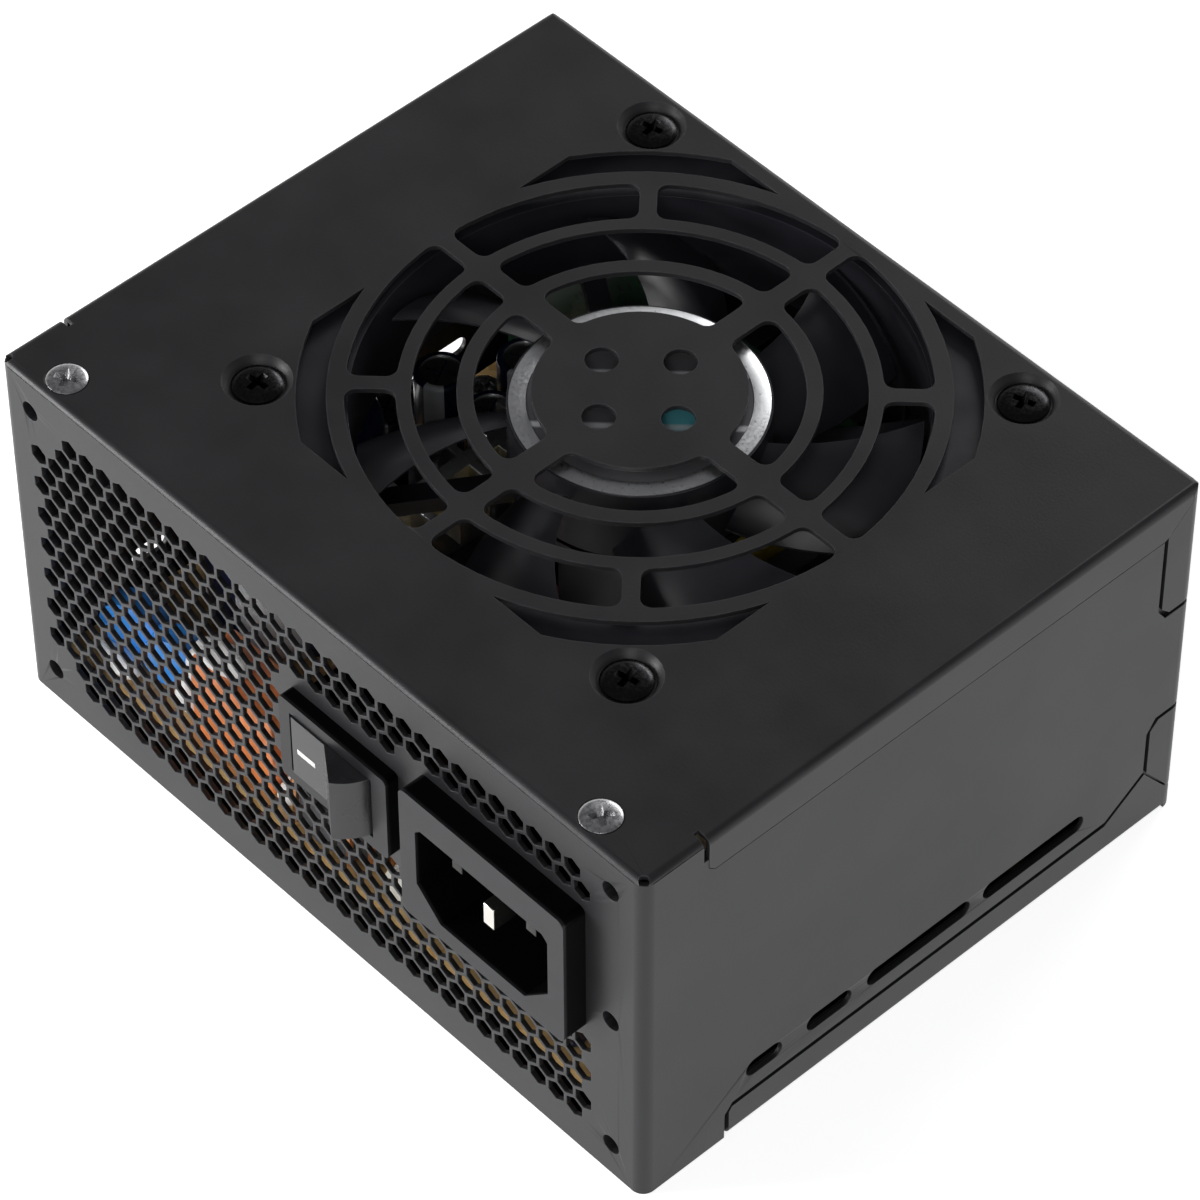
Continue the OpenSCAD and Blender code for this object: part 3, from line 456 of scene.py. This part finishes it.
def make_camera():
    data = bpy.data.cameras.new("camera")
    data.sensor_width = SENSOR
    data.lens = FOCAL_PER_WIDTH * SENSOR
    data.clip_start = 0.01
    made = bpy.data.objects.new("camera", data)
    bpy.context.scene.collection.objects.link(made)
    back = Vector((math.sin(AZIMUTH) * math.cos(ELEVATION), -math.cos(AZIMUTH) * math.cos(ELEVATION),
                   math.sin(ELEVATION)))
    right = (-back).cross(Vector((0, 0, 1))).normalized()
    up = right.cross(-back)
    side = right * math.cos(ROLL) + up * math.sin(ROLL)
    top = up * math.cos(ROLL) - right * math.sin(ROLL)
    made.matrix_world = Matrix.Translation(TARGET + back * CAMERA_DISTANCE) @ Matrix(
        (side, top, back)).transposed().to_4x4()
    bpy.context.scene.camera = made


LIGHT_AIM = Vector((0, 0, 30)) * MM


def area_light(name, place, size, power):
    data = bpy.data.lights.new(name, "AREA")
    data.shape = "RECTANGLE"
    data.size, data.size_y = size
    data.energy = power
    made = bpy.data.objects.new(name, data)
    bpy.context.scene.collection.objects.link(made)
    made.location = place
    made.rotation_euler = (LIGHT_AIM - Vector(place)).to_track_quat("-Z", "Y").to_euler()


def make_world():
    """Studio sky: white near the horizon, darker overhead, so that the top face stays deep."""
    world = bpy.data.worlds.new("studio")
    bpy.context.scene.world = world
    world.use_nodes = True
    tree = world.node_tree
    background = tree.nodes["Background"]
    coordinates = tree.nodes.new("ShaderNodeTexCoord")
    parts = tree.nodes.new("ShaderNodeSeparateXYZ")
    ramp = tree.nodes.new("ShaderNodeValToRGB")
    tree.links.new(coordinates.outputs["Generated"], parts.inputs[0])
    tree.links.new(parts.outputs["Z"], ramp.inputs["Fac"])
    tree.links.new(ramp.outputs["Color"], background.inputs["Color"])
    ramp.color_ramp.elements[0].position = 0.1
    ramp.color_ramp.elements[0].color = (1, 1, 1, 1)
    ramp.color_ramp.elements[1].position = 0.5
    ramp.color_ramp.elements[1].color = (0.10, 0.10, 0.105, 1)
    background.inputs["Strength"].default_value = 1.0


def make_stage():
    half = 6.0
    bm = bmesh.new()
    for x, y in ((-half, -half), (half, -half), (half, half), (-half, half)):
        bm.verts.new((x, y, 0))
    bm.faces.new(bm.verts)
    mesh = mesh_from(bm, "floor")
    floor = bpy.data.objects.new("floor", mesh)
    bpy.context.scene.collection.objects.link(floor)
    shader = Shader("floor_white", (0.9, 0.9, 0.9), 0.9)
    shader.set("Specular IOR Level", 0.0)
    shader.set("Emission Color", (1, 1, 1, 1))
    shader.set("Emission Strength", 0.75)
    mesh.materials.append(shader.material)


def make_lights():
    area_light("key_left", (-0.34, -0.42, 0.16), (0.22, 0.22), 2.6)
    area_light("near_camera", (0.55, -0.75, 0.75), (0.4, 0.4), 2.4)
    area_light("rear_rim", (-0.6, 1.5, 0.9), (0.9, 0.5), 8)


# ---------- screws ----------


def cross_cutter(size, width, depth, lift, matrix):
    """A tapered cross that points down into a screw head."""
    bm = bmesh.new()
    rings = []
    floor_of_cut = (size * 0.22, width * 0.3, -depth)
    mouth, above = ((size / 2, width / 2, z) for z in (0, lift))
    quarter_turns = ((1, 0), (0, 1), (-1, 0), (0, -1))
    for length, breadth, z in (floor_of_cut, mouth, above):
        arm = [(length, -breadth), (length, breadth), (breadth, breadth)]
        outline = [(x * c - y * s, x * s + y * c) for c, s in quarter_turns for x, y in arm]
        rings.append([bm.verts.new(matrix @ Vector((x, y, z))) for x, y in outline])
    count = len(rings[0])
    for low, high in zip(rings, rings[1:]):
        for k in range(count):
            bm.faces.new((low[k], low[(k + 1) % count], high[(k + 1) % count], high[k]))
    bm.faces.new(rings[0][::-1])
    bm.faces.new(rings[-1])
    return mesh_from(bm, "cross")


def screw(name, profile, place, turn, recess, material, body="case", down=False):
    """A turned screw with a cross recess. recess is (size, width, depth, height of its mouth)."""
    flip = Matrix.Rotation(math.pi, 4, "X") if down else Matrix.Identity(4)
    matrix = Matrix.Translation(place) @ flip @ Matrix.Rotation(math.radians(turn), 4, "Z")
    bm = bmesh.new()
    lathe(bm, profile, 40, matrix)
    made = new_object(name, mesh_from(bm, name), material, body, 30)
    size, width, depth, mouth = recess
    cut(made, cross_cutter(size, width, depth, 1 * MM, matrix @ Matrix.Translation((0, 0, mouth))))
    shade(made.data, 30)
    return made


def corner_places(node, head_radius, z):
    """The four (or two) screw axes of a group, from its box."""
    low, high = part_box(node)
    xs = (low.x + head_radius, high.x - head_radius)
    ys = (low.y + head_radius, high.y - head_radius)
    if ys[1] - ys[0] < head_radius:
        return [Vector((x, (low.y + high.y) / 2, z)) for x in xs]
    return [Vector((x, y, z)) for x in xs for y in ys]


def make_screws(bright, black):
    low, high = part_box("fan_screws")
    head = 3.6 * MM
    seat = high.z - 0.75 * MM
    foot = low.z - seat
    profile = ([(0, foot), (1.7 * MM, foot), (1.9 * MM, foot + 0.4 * MM), (1.9 * MM, 0)]
               + arc(head - 0.15 * MM, 0.15 * MM, 0.15 * MM, -90, 80, 5)
               + [(3.25 * MM, 0.48 * MM), (2.6 * MM, 0.66 * MM), (1.6 * MM, 0.73 * MM), (0, 0.75 * MM)])
    for index, place in enumerate(corner_places("fan_screws", head, seat)):
        made = screw(f"fan_screw_{index + 1}", profile, place, 8 + 3 * index,
                     (3.4 * MM, 0.95 * MM, 1.3 * MM, 0.75 * MM), black)
        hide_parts("fan_screws")
    low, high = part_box("cover_screws")
    head = (high.y - low.y) / 2
    foot = low.z - high.z
    crown = 0.3 * MM
    shank = 1.45 * MM
    profile = [(0, foot), (1.2 * MM, foot), (shank, foot + 0.4 * MM), (shank, -1.25 * MM), (head, -crown)]
    profile += [(head * math.cos(a), crown * (math.sin(a) - 1)) for a in (0.25, 0.55, 0.9, 1.25)]
    profile += [(0, 0)]
    for index, place in enumerate(corner_places("cover_screws", head, high.z)):
        made = screw(f"cover_screw_{index + 1}", profile, place, 28 + 31 * index,
                     (3.6 * MM, 1.0 * MM, 1.2 * MM, 0), bright)
        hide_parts("cover_screws")


# ---------- fan ----------


def make_hub_label(face_material, border_material):
    """The hub's label with its raised silver border."""
    low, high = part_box("fan_label")
    centre = hub_centre()
    radius = (high.x - low.x) / 2
    top = high.z - low.z
    border = 2.3 * MM
    profile = [(0, 0), (radius, 0), (radius, top * 0.6), (radius - 0.15 * MM, top), (radius - border, top),
               (radius - border - 0.1 * MM, top * 0.45), (0, top * 0.45)]
    bm = bmesh.new()
    lathe(bm, profile, 96, Matrix.Translation((centre.x, centre.y, low.z)))
    made = new_object("hub_label", mesh_from(bm, "hub_label"), face_material, "fan", 30)
    made.data.materials.append(border_material)
    for face in made.data.polygons:
        mid = face.center - centre
        if math.hypot(mid.x, mid.y) > radius - border - 0.05 * MM:
            face.material_index = 1
    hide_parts("fan_label")


# ---------- measuring the CAD solids ----------


def solids_of(node):
    """(lowest corner, highest corner) of each separate solid of a node, left to right and front to back."""
    bm = bmesh.new()
    bm.from_mesh(NODES[node].data)
    bmesh.ops.remove_doubles(bm, verts=bm.verts, dist=0.002 * MM)
    left = set(bm.verts)
    found = []
    while left:
        island, edge = [], [left.pop()]
        while edge:
            vert = edge.pop()
            island.append(vert.co.copy())
            for link in vert.link_edges:
                other = link.other_vert(vert)
                if other in left:
                    left.remove(other)
                    edge.append(other)
        found.append((Vector([min(c[i] for c in island) for i in range(3)]),
                      Vector([max(c[i] for c in island) for i in range(3)])))
    bm.free()
    return sorted(found, key=lambda pair: (round(pair[0].x, 5), round(pair[0].y, 5)))


def ring_of(node):
    """Centre, inner radius, outer radius, foot and top of a ring-shaped node."""
    low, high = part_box(node)
    centre = (low + high) / 2
    reach = [math.hypot(v.co.x - centre.x, v.co.y - centre.y) for v in NODES[node].data.vertices]
    return centre, min(reach), max(reach), low.z, high.z


# ---------- parts inside the case ----------


def winding(name, core, sleeve, span, material):
    """Turns of wire round a toroid, in two halves, inside the room of the CAD sleeves."""
    centre, inner, outer, foot, top = ring_of(core)
    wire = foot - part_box(sleeve)[0].z
    r = wire / 2 * 0.94
    corner = wire * 0.7
    a, b = inner - wire / 2, outer + wire / 2
    c, d = foot - wire / 2, top + wire / 2
    section = []
    for cx, cz, start in ((b - corner, d - corner, 0), (a + corner, d - corner, 90),
                          (a + corner, c + corner, 180), (b - corner, c + corner, 270)):
        section += arc(cx, cz, corner, start, start + 90, 3)
    axis = Vector((centre.x, centre.y, 0))
    turns = int(math.radians(span) * (inner - wire / 2) / wire)
    bm = bmesh.new()
    for side in (0, math.pi):
        for k in range(turns):
            angle = side + math.radians(span) * ((k + 0.5) / turns - 0.5)
            direction = Vector((math.cos(angle), math.sin(angle), 0))
            path = [axis + direction * reach + Vector((0, 0, height)) for reach, height in section]
            sweep(bm, path, r, 6, closed=True)
    made = new_object(name, mesh_from(bm, name), material, "case", 60)
    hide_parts(sleeve)


def capacitor_can(name, low, high, sleeve, stripe, can, node):
    """An electrolytic capacitor: shrink sleeve with a pale stripe, crimp groove, scored metal top."""
    centre = (low + high) / 2
    radius = (high.x - low.x) / 2
    height = high.z - low.z
    lip = radius * 0.13
    groove = radius * 0.07
    profile = [(0, 0), (radius * 0.93, 0), (radius, radius * 0.07), (radius, radius * 0.22),
               (radius - groove, radius * 0.30), (radius, radius * 0.38), (radius, height - lip * 1.4)]
    profile += arc(radius - lip, height - lip * 1.4, lip, 15, 90, 4)
    profile += [(radius - lip * 1.8, height - lip * 0.5), (radius - lip * 1.9, height - lip * 1.0),
                (0, height - lip * 1.0)]
    bm = bmesh.new()
    segments = 40
    lathe(bm, profile, segments, Matrix.Translation((centre.x, centre.y, low.z)))
    made = new_object(name, mesh_from(bm, name), sleeve, "case", 40)
    made.data.materials.append(stripe)
    made.data.materials.append(can)
    for face in made.data.polygons:
        mid = face.center - centre
        reach = math.hypot(mid.x, mid.y)
        if reach < radius - lip * 1.7 and face.center.z > centre.z:
            face.material_index = 2
        elif reach > radius * 0.8 and abs(math.degrees(math.atan2(mid.y, mid.x)) + 60) < 22:
            face.material_index = 1
    top = low.z + height - lip * 1.0
    score = radius * 1.15
    matrix = Matrix.Translation((centre.x, centre.y, top)) @ Matrix.Rotation(0.5, 4, "Z")
    cut(made, cross_cutter(score, radius * 0.07, radius * 0.04, radius * 0.1, matrix))
    shade(made.data, 40)
    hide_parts(node)


def glue(name, place, size, seed, material):
    """A squeezed blob of white silicone adhesive."""
    rng = random.Random(seed)
    bm = bmesh.new()
    bmesh.ops.create_icosphere(bm, subdivisions=3, radius=1)
    waves = []
    for _ in range(5):
        direction = Vector([rng.uniform(-1, 1) for _ in range(3)]).normalized()
        wave = direction * rng.uniform(2, 4)
        waves.append((wave, rng.uniform(0, 6)))
    for vert in bm.verts:
        swell = 1 + 0.09 * sum(math.sin(wave.dot(vert.co) + phase) for wave, phase in waves)
        vert.co = Vector((vert.co[i] * size[i] * swell for i in range(3))) + Vector(place)
    made = new_object(name, mesh_from(bm, name), material, "case", 80)


def free_spots(count, need, seed):
    """Places on the main board with room round them for a small part."""
    rng = random.Random(seed)
    low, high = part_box("main_board")
    taken = [pair for node in NODES if node not in ("main_board", "chassis_shell", "base_tray", "top_cover",
                                                    "insulation_sheet", "fan_frame", "fan_rotor", "standoffs")
             for pair in solids_of(node) if pair[0].z < high.z + 12 * MM and pair[1].z > high.z]
    found = []
    for _ in range(4000):
        if len(found) == count:
            break
        x = rng.uniform(low.x + need, high.x - need)
        y = rng.uniform(low.y + need, high.y - need)
        clear = all(x + need < a.x or x - need > b.x or y + need < a.y or y - need > b.y for a, b in taken)
        if clear and all(math.hypot(x - p.x, y - p.y) > 2 * need for p in found):
            found.append(Vector((x, y, high.z)))
    return found


def make_small_parts(materials):
    """Resistors, film and ceramic parts and small cans scattered over the main board."""
    rng = random.Random(SEED)
    spots = free_spots(46, 3.4 * MM, SEED)
    for index, spot in enumerate(spots):
        turn = rng.choice((0, 90, 0, 90, 180))
        matrix = Matrix.Translation(spot) @ Matrix.Rotation(math.radians(turn), 4, "Z")
        kind = rng.choice(("resistor", "film", "ceramic", "small_can"))
        bm = bmesh.new()
        if kind == "resistor":
            body = [(0, -2.6), (0.75, -2.55), (0.95, -2.2), (0.95, -1.5), (0.8, -1.3),
                    (0.8, 1.3), (0.95, 1.5), (0.95, 2.2), (0.75, 2.55), (0, 2.6)]
            lying = matrix @ Matrix.Translation((0, 0, 1.2 * MM)) @ Matrix.Rotation(math.pi / 2, 4, "Y")
            lathe(bm, [(r * MM, h * MM) for r, h in body], 14, lying)
            for side in (-1, 1):
                path = [matrix @ Vector((side * x * MM, 0, z * MM))
                        for x, z in ((2.5, 1.2), (3.0, 1.15), (3.2, 0.9), (3.2, 0))]
                sweep(bm, path, 0.25 * MM, 6)
            material, slot = materials["resistor"], "ceramic"
        elif kind == "film":
            add_box(bm, Vector((-2.8, -1.4, 0)) * MM, Vector((2.8, 1.4, 5.2)) * MM, 0.35 * MM, matrix)
            material, slot = materials["film_part"], "orange_case"
        elif kind == "ceramic":
            disc = ((0, -0.9), (1.6, -0.8), (2.2, -0.3), (2.2, 0.3), (1.6, 0.8), (0, 0.9))
            dome = [(r * MM, h * MM) for r, h in disc]
            standing = matrix @ Matrix.Translation((0, 0, 3.2 * MM)) @ Matrix.Rotation(math.pi / 2, 4, "X")
            lathe(bm, dome, 18, standing)
            for side in (-1, 1):
                leg = [matrix @ Vector((side * 1.1 * MM, 0, z * MM)) for z in (1.5, 0.8, 0)]
                sweep(bm, leg, 0.25 * MM, 6)
            material, slot = materials["ceramic_part"], "blue_disc"
        else:
            can = [(0, 0), (2.3, 0), (2.5, 0.3), (2.5, 0.9), (2.35, 1.1), (2.5, 1.3), (2.5, 7.0), (2.2, 7.3),
                   (1.9, 7.2), (0, 7.2)]
            lathe(bm, [(r * MM, h * MM) for r, h in can], 20, matrix)
            material, slot = materials["small_can"], "capacitor_sleeve"
        name = f"board_{kind}_{index + 1}"
        made = new_object(name, mesh_from(bm, name), material, "case", 40)


def make_inside(materials):
    winding("filter_choke_turns", "filter_choke_core", "filter_choke_windings", 132, materials["copper"])
    winding("boost_choke_turns", "boost_choke_core", "boost_choke_winding", 158, materials["copper"])
    winding("output_choke_turns", "output_choke_core", "output_choke_winding", 150, materials["copper"])
    low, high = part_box("bulk_capacitor")
    capacitor_can("bulk_capacitor_can", low, high, materials["sleeve"], materials["stripe"],
                  materials["aluminium"], "bulk_capacitor")
    for index, (low, high) in enumerate(solids_of("output_capacitors")):
        capacitor_can(f"output_capacitor_{index + 1}", low, high, materials["sleeve"], materials["stripe"],
                      materials["aluminium"], "output_capacitors")
    make_small_parts(materials)
    # adhesive between the filter parts behind the panel
    low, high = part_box("x_capacitor")
    discs = solids_of("y_capacitors")
    spots = [((low.x - 3.2 * MM, low.y + 3 * MM, low.z + 3 * MM), (3.2, 3.0, 3.4)),
             ((low.x - 1.8 * MM, low.y + 4 * MM, low.z + 9 * MM), (2.0, 2.2, 3.6)),
             ((low.x + 4 * MM, low.y + 3.2 * MM, high.z + 0.6 * MM), (4.5, 2.6, 1.5)),
             ((discs[0][0].x + 5 * MM, discs[0][0].y - 0.2 * MM, discs[0][0].z + 1.6 * MM), (5.5, 2.0, 1.8)),
             ((high.x + 2.0 * MM, low.y + 2.4 * MM, low.z + 2.4 * MM), (2.2, 2.4, 2.6))]
    for index, (place, size) in enumerate(spots):
        glue(f"adhesive_{index + 1}", place, [s * MM for s in size], SEED + index, materials["glue"])


def make_rocker_mark(material):
    """The pale bar moulded into the pressed half of the rocker."""
    joint = next(j for j in frame["joints"] if j["child"] == "rocker")
    pivot = Vector(joint["pos_m"])
    start = Vector((pivot.x - 4.6 * MM, pivot.y - 30 * MM, pivot.z - 0.4 * MM))
    _, point, normal, _ = NODES["switch_rocker"].ray_cast(start, Vector((0, 1, 0)))
    up = Vector((0, 0, 1))
    along = normal.cross(up).normalized()
    bm = bmesh.new()
    add_box(bm, Vector((-1.75, -0.45, -0.25)) * MM, Vector((1.75, 0.45, 0.05)) * MM, 0.04 * MM)
    matrix = Matrix.Translation(point) @ Matrix((along, normal.cross(along), normal)).transposed().to_4x4()
    bmesh.ops.transform(bm, matrix=matrix, verts=bm.verts)
    made = new_object("rocker_mark", mesh_from(bm, "rocker_mark"), material, "rocker", 30)


# ---------- dressing of the CAD nodes ----------


def dress_everything():
    case = paint("case_paint", (0.015, 0.015, 0.0165), 0.40)
    cover = paint("cover_paint", (0.023, 0.0225, 0.0245), 0.42)
    plastic = moulded("housing_plastic", (0.020, 0.020, 0.0215), 0.42)
    inlet = fitting_plastic("inlet_plastic", (0.012, 0.012, 0.014), 0.42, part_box("inlet_housing")[0].y)
    bezel = fitting_plastic("bezel_plastic", (0.0095, 0.0095, 0.011), 0.42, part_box("switch_housing")[0].y)
    fan_plastic = moulded("fan_plastic", (0.022, 0.022, 0.028), 0.36, 0.6 * MM, 0.012 * MM)
    rocker = moulded("rocker_plastic", (0.022, 0.022, 0.024), 0.28, 0.5 * MM, 0.01 * MM)
    bright = metal("zinc", (0.66, 0.66, 0.67), 0.27)
    black = metal("black_oxide", (0.035, 0.035, 0.037), 0.24)
    steel = metal("steel", (0.6, 0.6, 0.61), 0.3)
    pins = metal("nickel", (0.78, 0.76, 0.70), 0.22)
    contacts = contact_metal("inlet_contacts", (0.78, 0.76, 0.70), 0.25)
    brass = metal("brass", (0.80, 0.62, 0.32), 0.28)
    aluminium = metal("aluminium", (0.76, 0.77, 0.78), 0.34, 0.4 * MM, (1, 1, 0.05))
    copper = wire_wound("copper_wire", (0.80, 0.36, 0.15), 0.6 * MM)
    green = board("green_board", (0.02, 0.11, 0.045), (0.04, 0.20, 0.09), 2.2 * MM)
    dark_green = board("dark_green_board", (0.012, 0.045, 0.022), (0.02, 0.08, 0.035), 2.2 * MM)
    brown = board("brown_board", (0.40, 0.24, 0.09), (0.52, 0.34, 0.15), 3.0 * MM)
    red_jacket = lacquer("red_jacket", (0.55, 0.03, 0.02), 0.35)
    yellow_jacket = lacquer("yellow_jacket", (0.75, 0.58, 0.05), 0.35)
    nylon = moulded("white_nylon", (0.80, 0.79, 0.74), 0.45)
    film = moulded("film", (0.75, 0.75, 0.70), 0.3)
    orange = lacquer("orange_case", (0.85, 0.27, 0.09), 0.3)
    blue = lacquer("blue_disc", (0.05, 0.30, 0.85), 0.25)
    ferrite = moulded("ferrite", (0.06, 0.06, 0.065), 0.55, 0.5 * MM, 0.03 * MM)
    yellow_core = lacquer("yellow_core", (0.80, 0.64, 0.08), 0.4)
    ceramic = lacquer("ceramic", (0.85, 0.83, 0.76), 0.25)
    dark_disc = lacquer("dark_disc", (0.03, 0.10, 0.05), 0.4)
    package = moulded("package", (0.02, 0.02, 0.02), 0.5)
    sleeve = lacquer("capacitor_sleeve", (0.012, 0.015, 0.045), 0.3)
    tape = lacquer("tape", (0.85, 0.62, 0.06), 0.3)
    magnet = moulded("magnet", (0.03, 0.028, 0.026), 0.6)
    finishes = {
        "chassis_shell": (case, 0.12), "top_cover": (cover, 0.14), "base_tray": (case, 0.12),
        "base_screws": (black, 0.08), "fan_frame": (fan_plastic, 0.25), "fan_rotor": (fan_plastic, 0),
        "fan_shaft": (steel, 0.1), "fan_magnet": (magnet, 0.1), "fan_bearing": (brass, 0.1),
        "fan_stator": (steel, 0), "fan_coils": (copper, 0.5), "fan_circuit": (green, 0),
        "fan_lead": (red_jacket, 0), "fan_plug": (nylon, 0.3), "inlet_housing": (inlet, 0.3),
        "inlet_pins": (contacts, 0.25), "inlet_leads": (yellow_jacket, 0), "switch_housing": (bezel, 0.3),
        "switch_rocker": (rocker, 0.35), "switch_contact": (brass, 0.1), "switch_terminals": (pins, 0.1),
        "insulation_sheet": (film, 0), "standoffs": (brass, 0.15), "board_screws": (steel, 0.1),
        "main_board": (brown, 0), "x_capacitor": (orange, 0.6), "y_capacitors": (blue, 0.8),
        "filter_choke_core": (ferrite, 0.5), "filter_choke_windings": (copper, 0.4), "fuse": (ceramic, 0.3),
        "thermistor": (dark_disc, 0.8), "rectifier": (package, 0.3), "rectifier_heatsink": (aluminium, 0.15),
        "boost_choke_core": (yellow_core, 0.6), "boost_choke_winding": (copper, 0.5),
        "bulk_capacitor": (sleeve, 0.6), "primary_heatsink": (aluminium, 0.15),
        "primary_transistors": (package, 0.2), "transformer_core": (ferrite, 0.3),
        "transformer_winding": (tape, 0.8), "standby_transformer": (tape, 0.4),
        "secondary_heatsink": (aluminium, 0.15), "secondary_transistors": (package, 0.2),
        "output_choke_core": (yellow_core, 0.5), "output_choke_winding": (copper, 0.4),
        "output_capacitors": (sleeve, 0.3),
        "control_board": (dark_green, 0.1), "socket_board": (dark_green, 0),
        "board_bars": (brass, 0.2), "main_socket": (plastic, 0.15), "processor_socket": (plastic, 0.15),
        "graphics_socket_pair": (plastic, 0.15), "peripheral_socket_set": (plastic, 0.15),
        "socket_pins": (pins, 0.12),
    }
    for node, (material, bevel) in finishes.items():
        dress(node, material, bevel * MM)
    return {
        "bright": bright, "black": black, "copper": copper, "sleeve": sleeve, "aluminium": aluminium,
        "stripe": lacquer("pale_stripe", (0.62, 0.64, 0.66), 0.3),
        "glue": moulded("silicone", (0.86, 0.86, 0.84), 0.4, 0.9 * MM, 0.03 * MM),
        "resistor": lacquer("resistor_body", (0.46, 0.36, 0.22), 0.35),
        "film_part": lacquer("film_part", (0.72, 0.12, 0.06), 0.3),
        "ceramic_part": lacquer("ceramic_part", (0.62, 0.34, 0.08), 0.35),
        "small_can": sleeve,
        "mark": moulded("rocker_mark", (0.62, 0.62, 0.60), 0.45),
    }


make_camera()
make_world()
make_stage()
make_lights()
bpy.context.scene.view_settings.view_transform = "Standard"
finish = dress_everything()
make_screws(finish["bright"], finish["black"])
make_hub_label(hub_label("hub_label_face"), metal("hub_label_border", (0.86, 0.87, 0.88), 0.34))
make_rocker_mark(finish["mark"])
make_inside(finish)
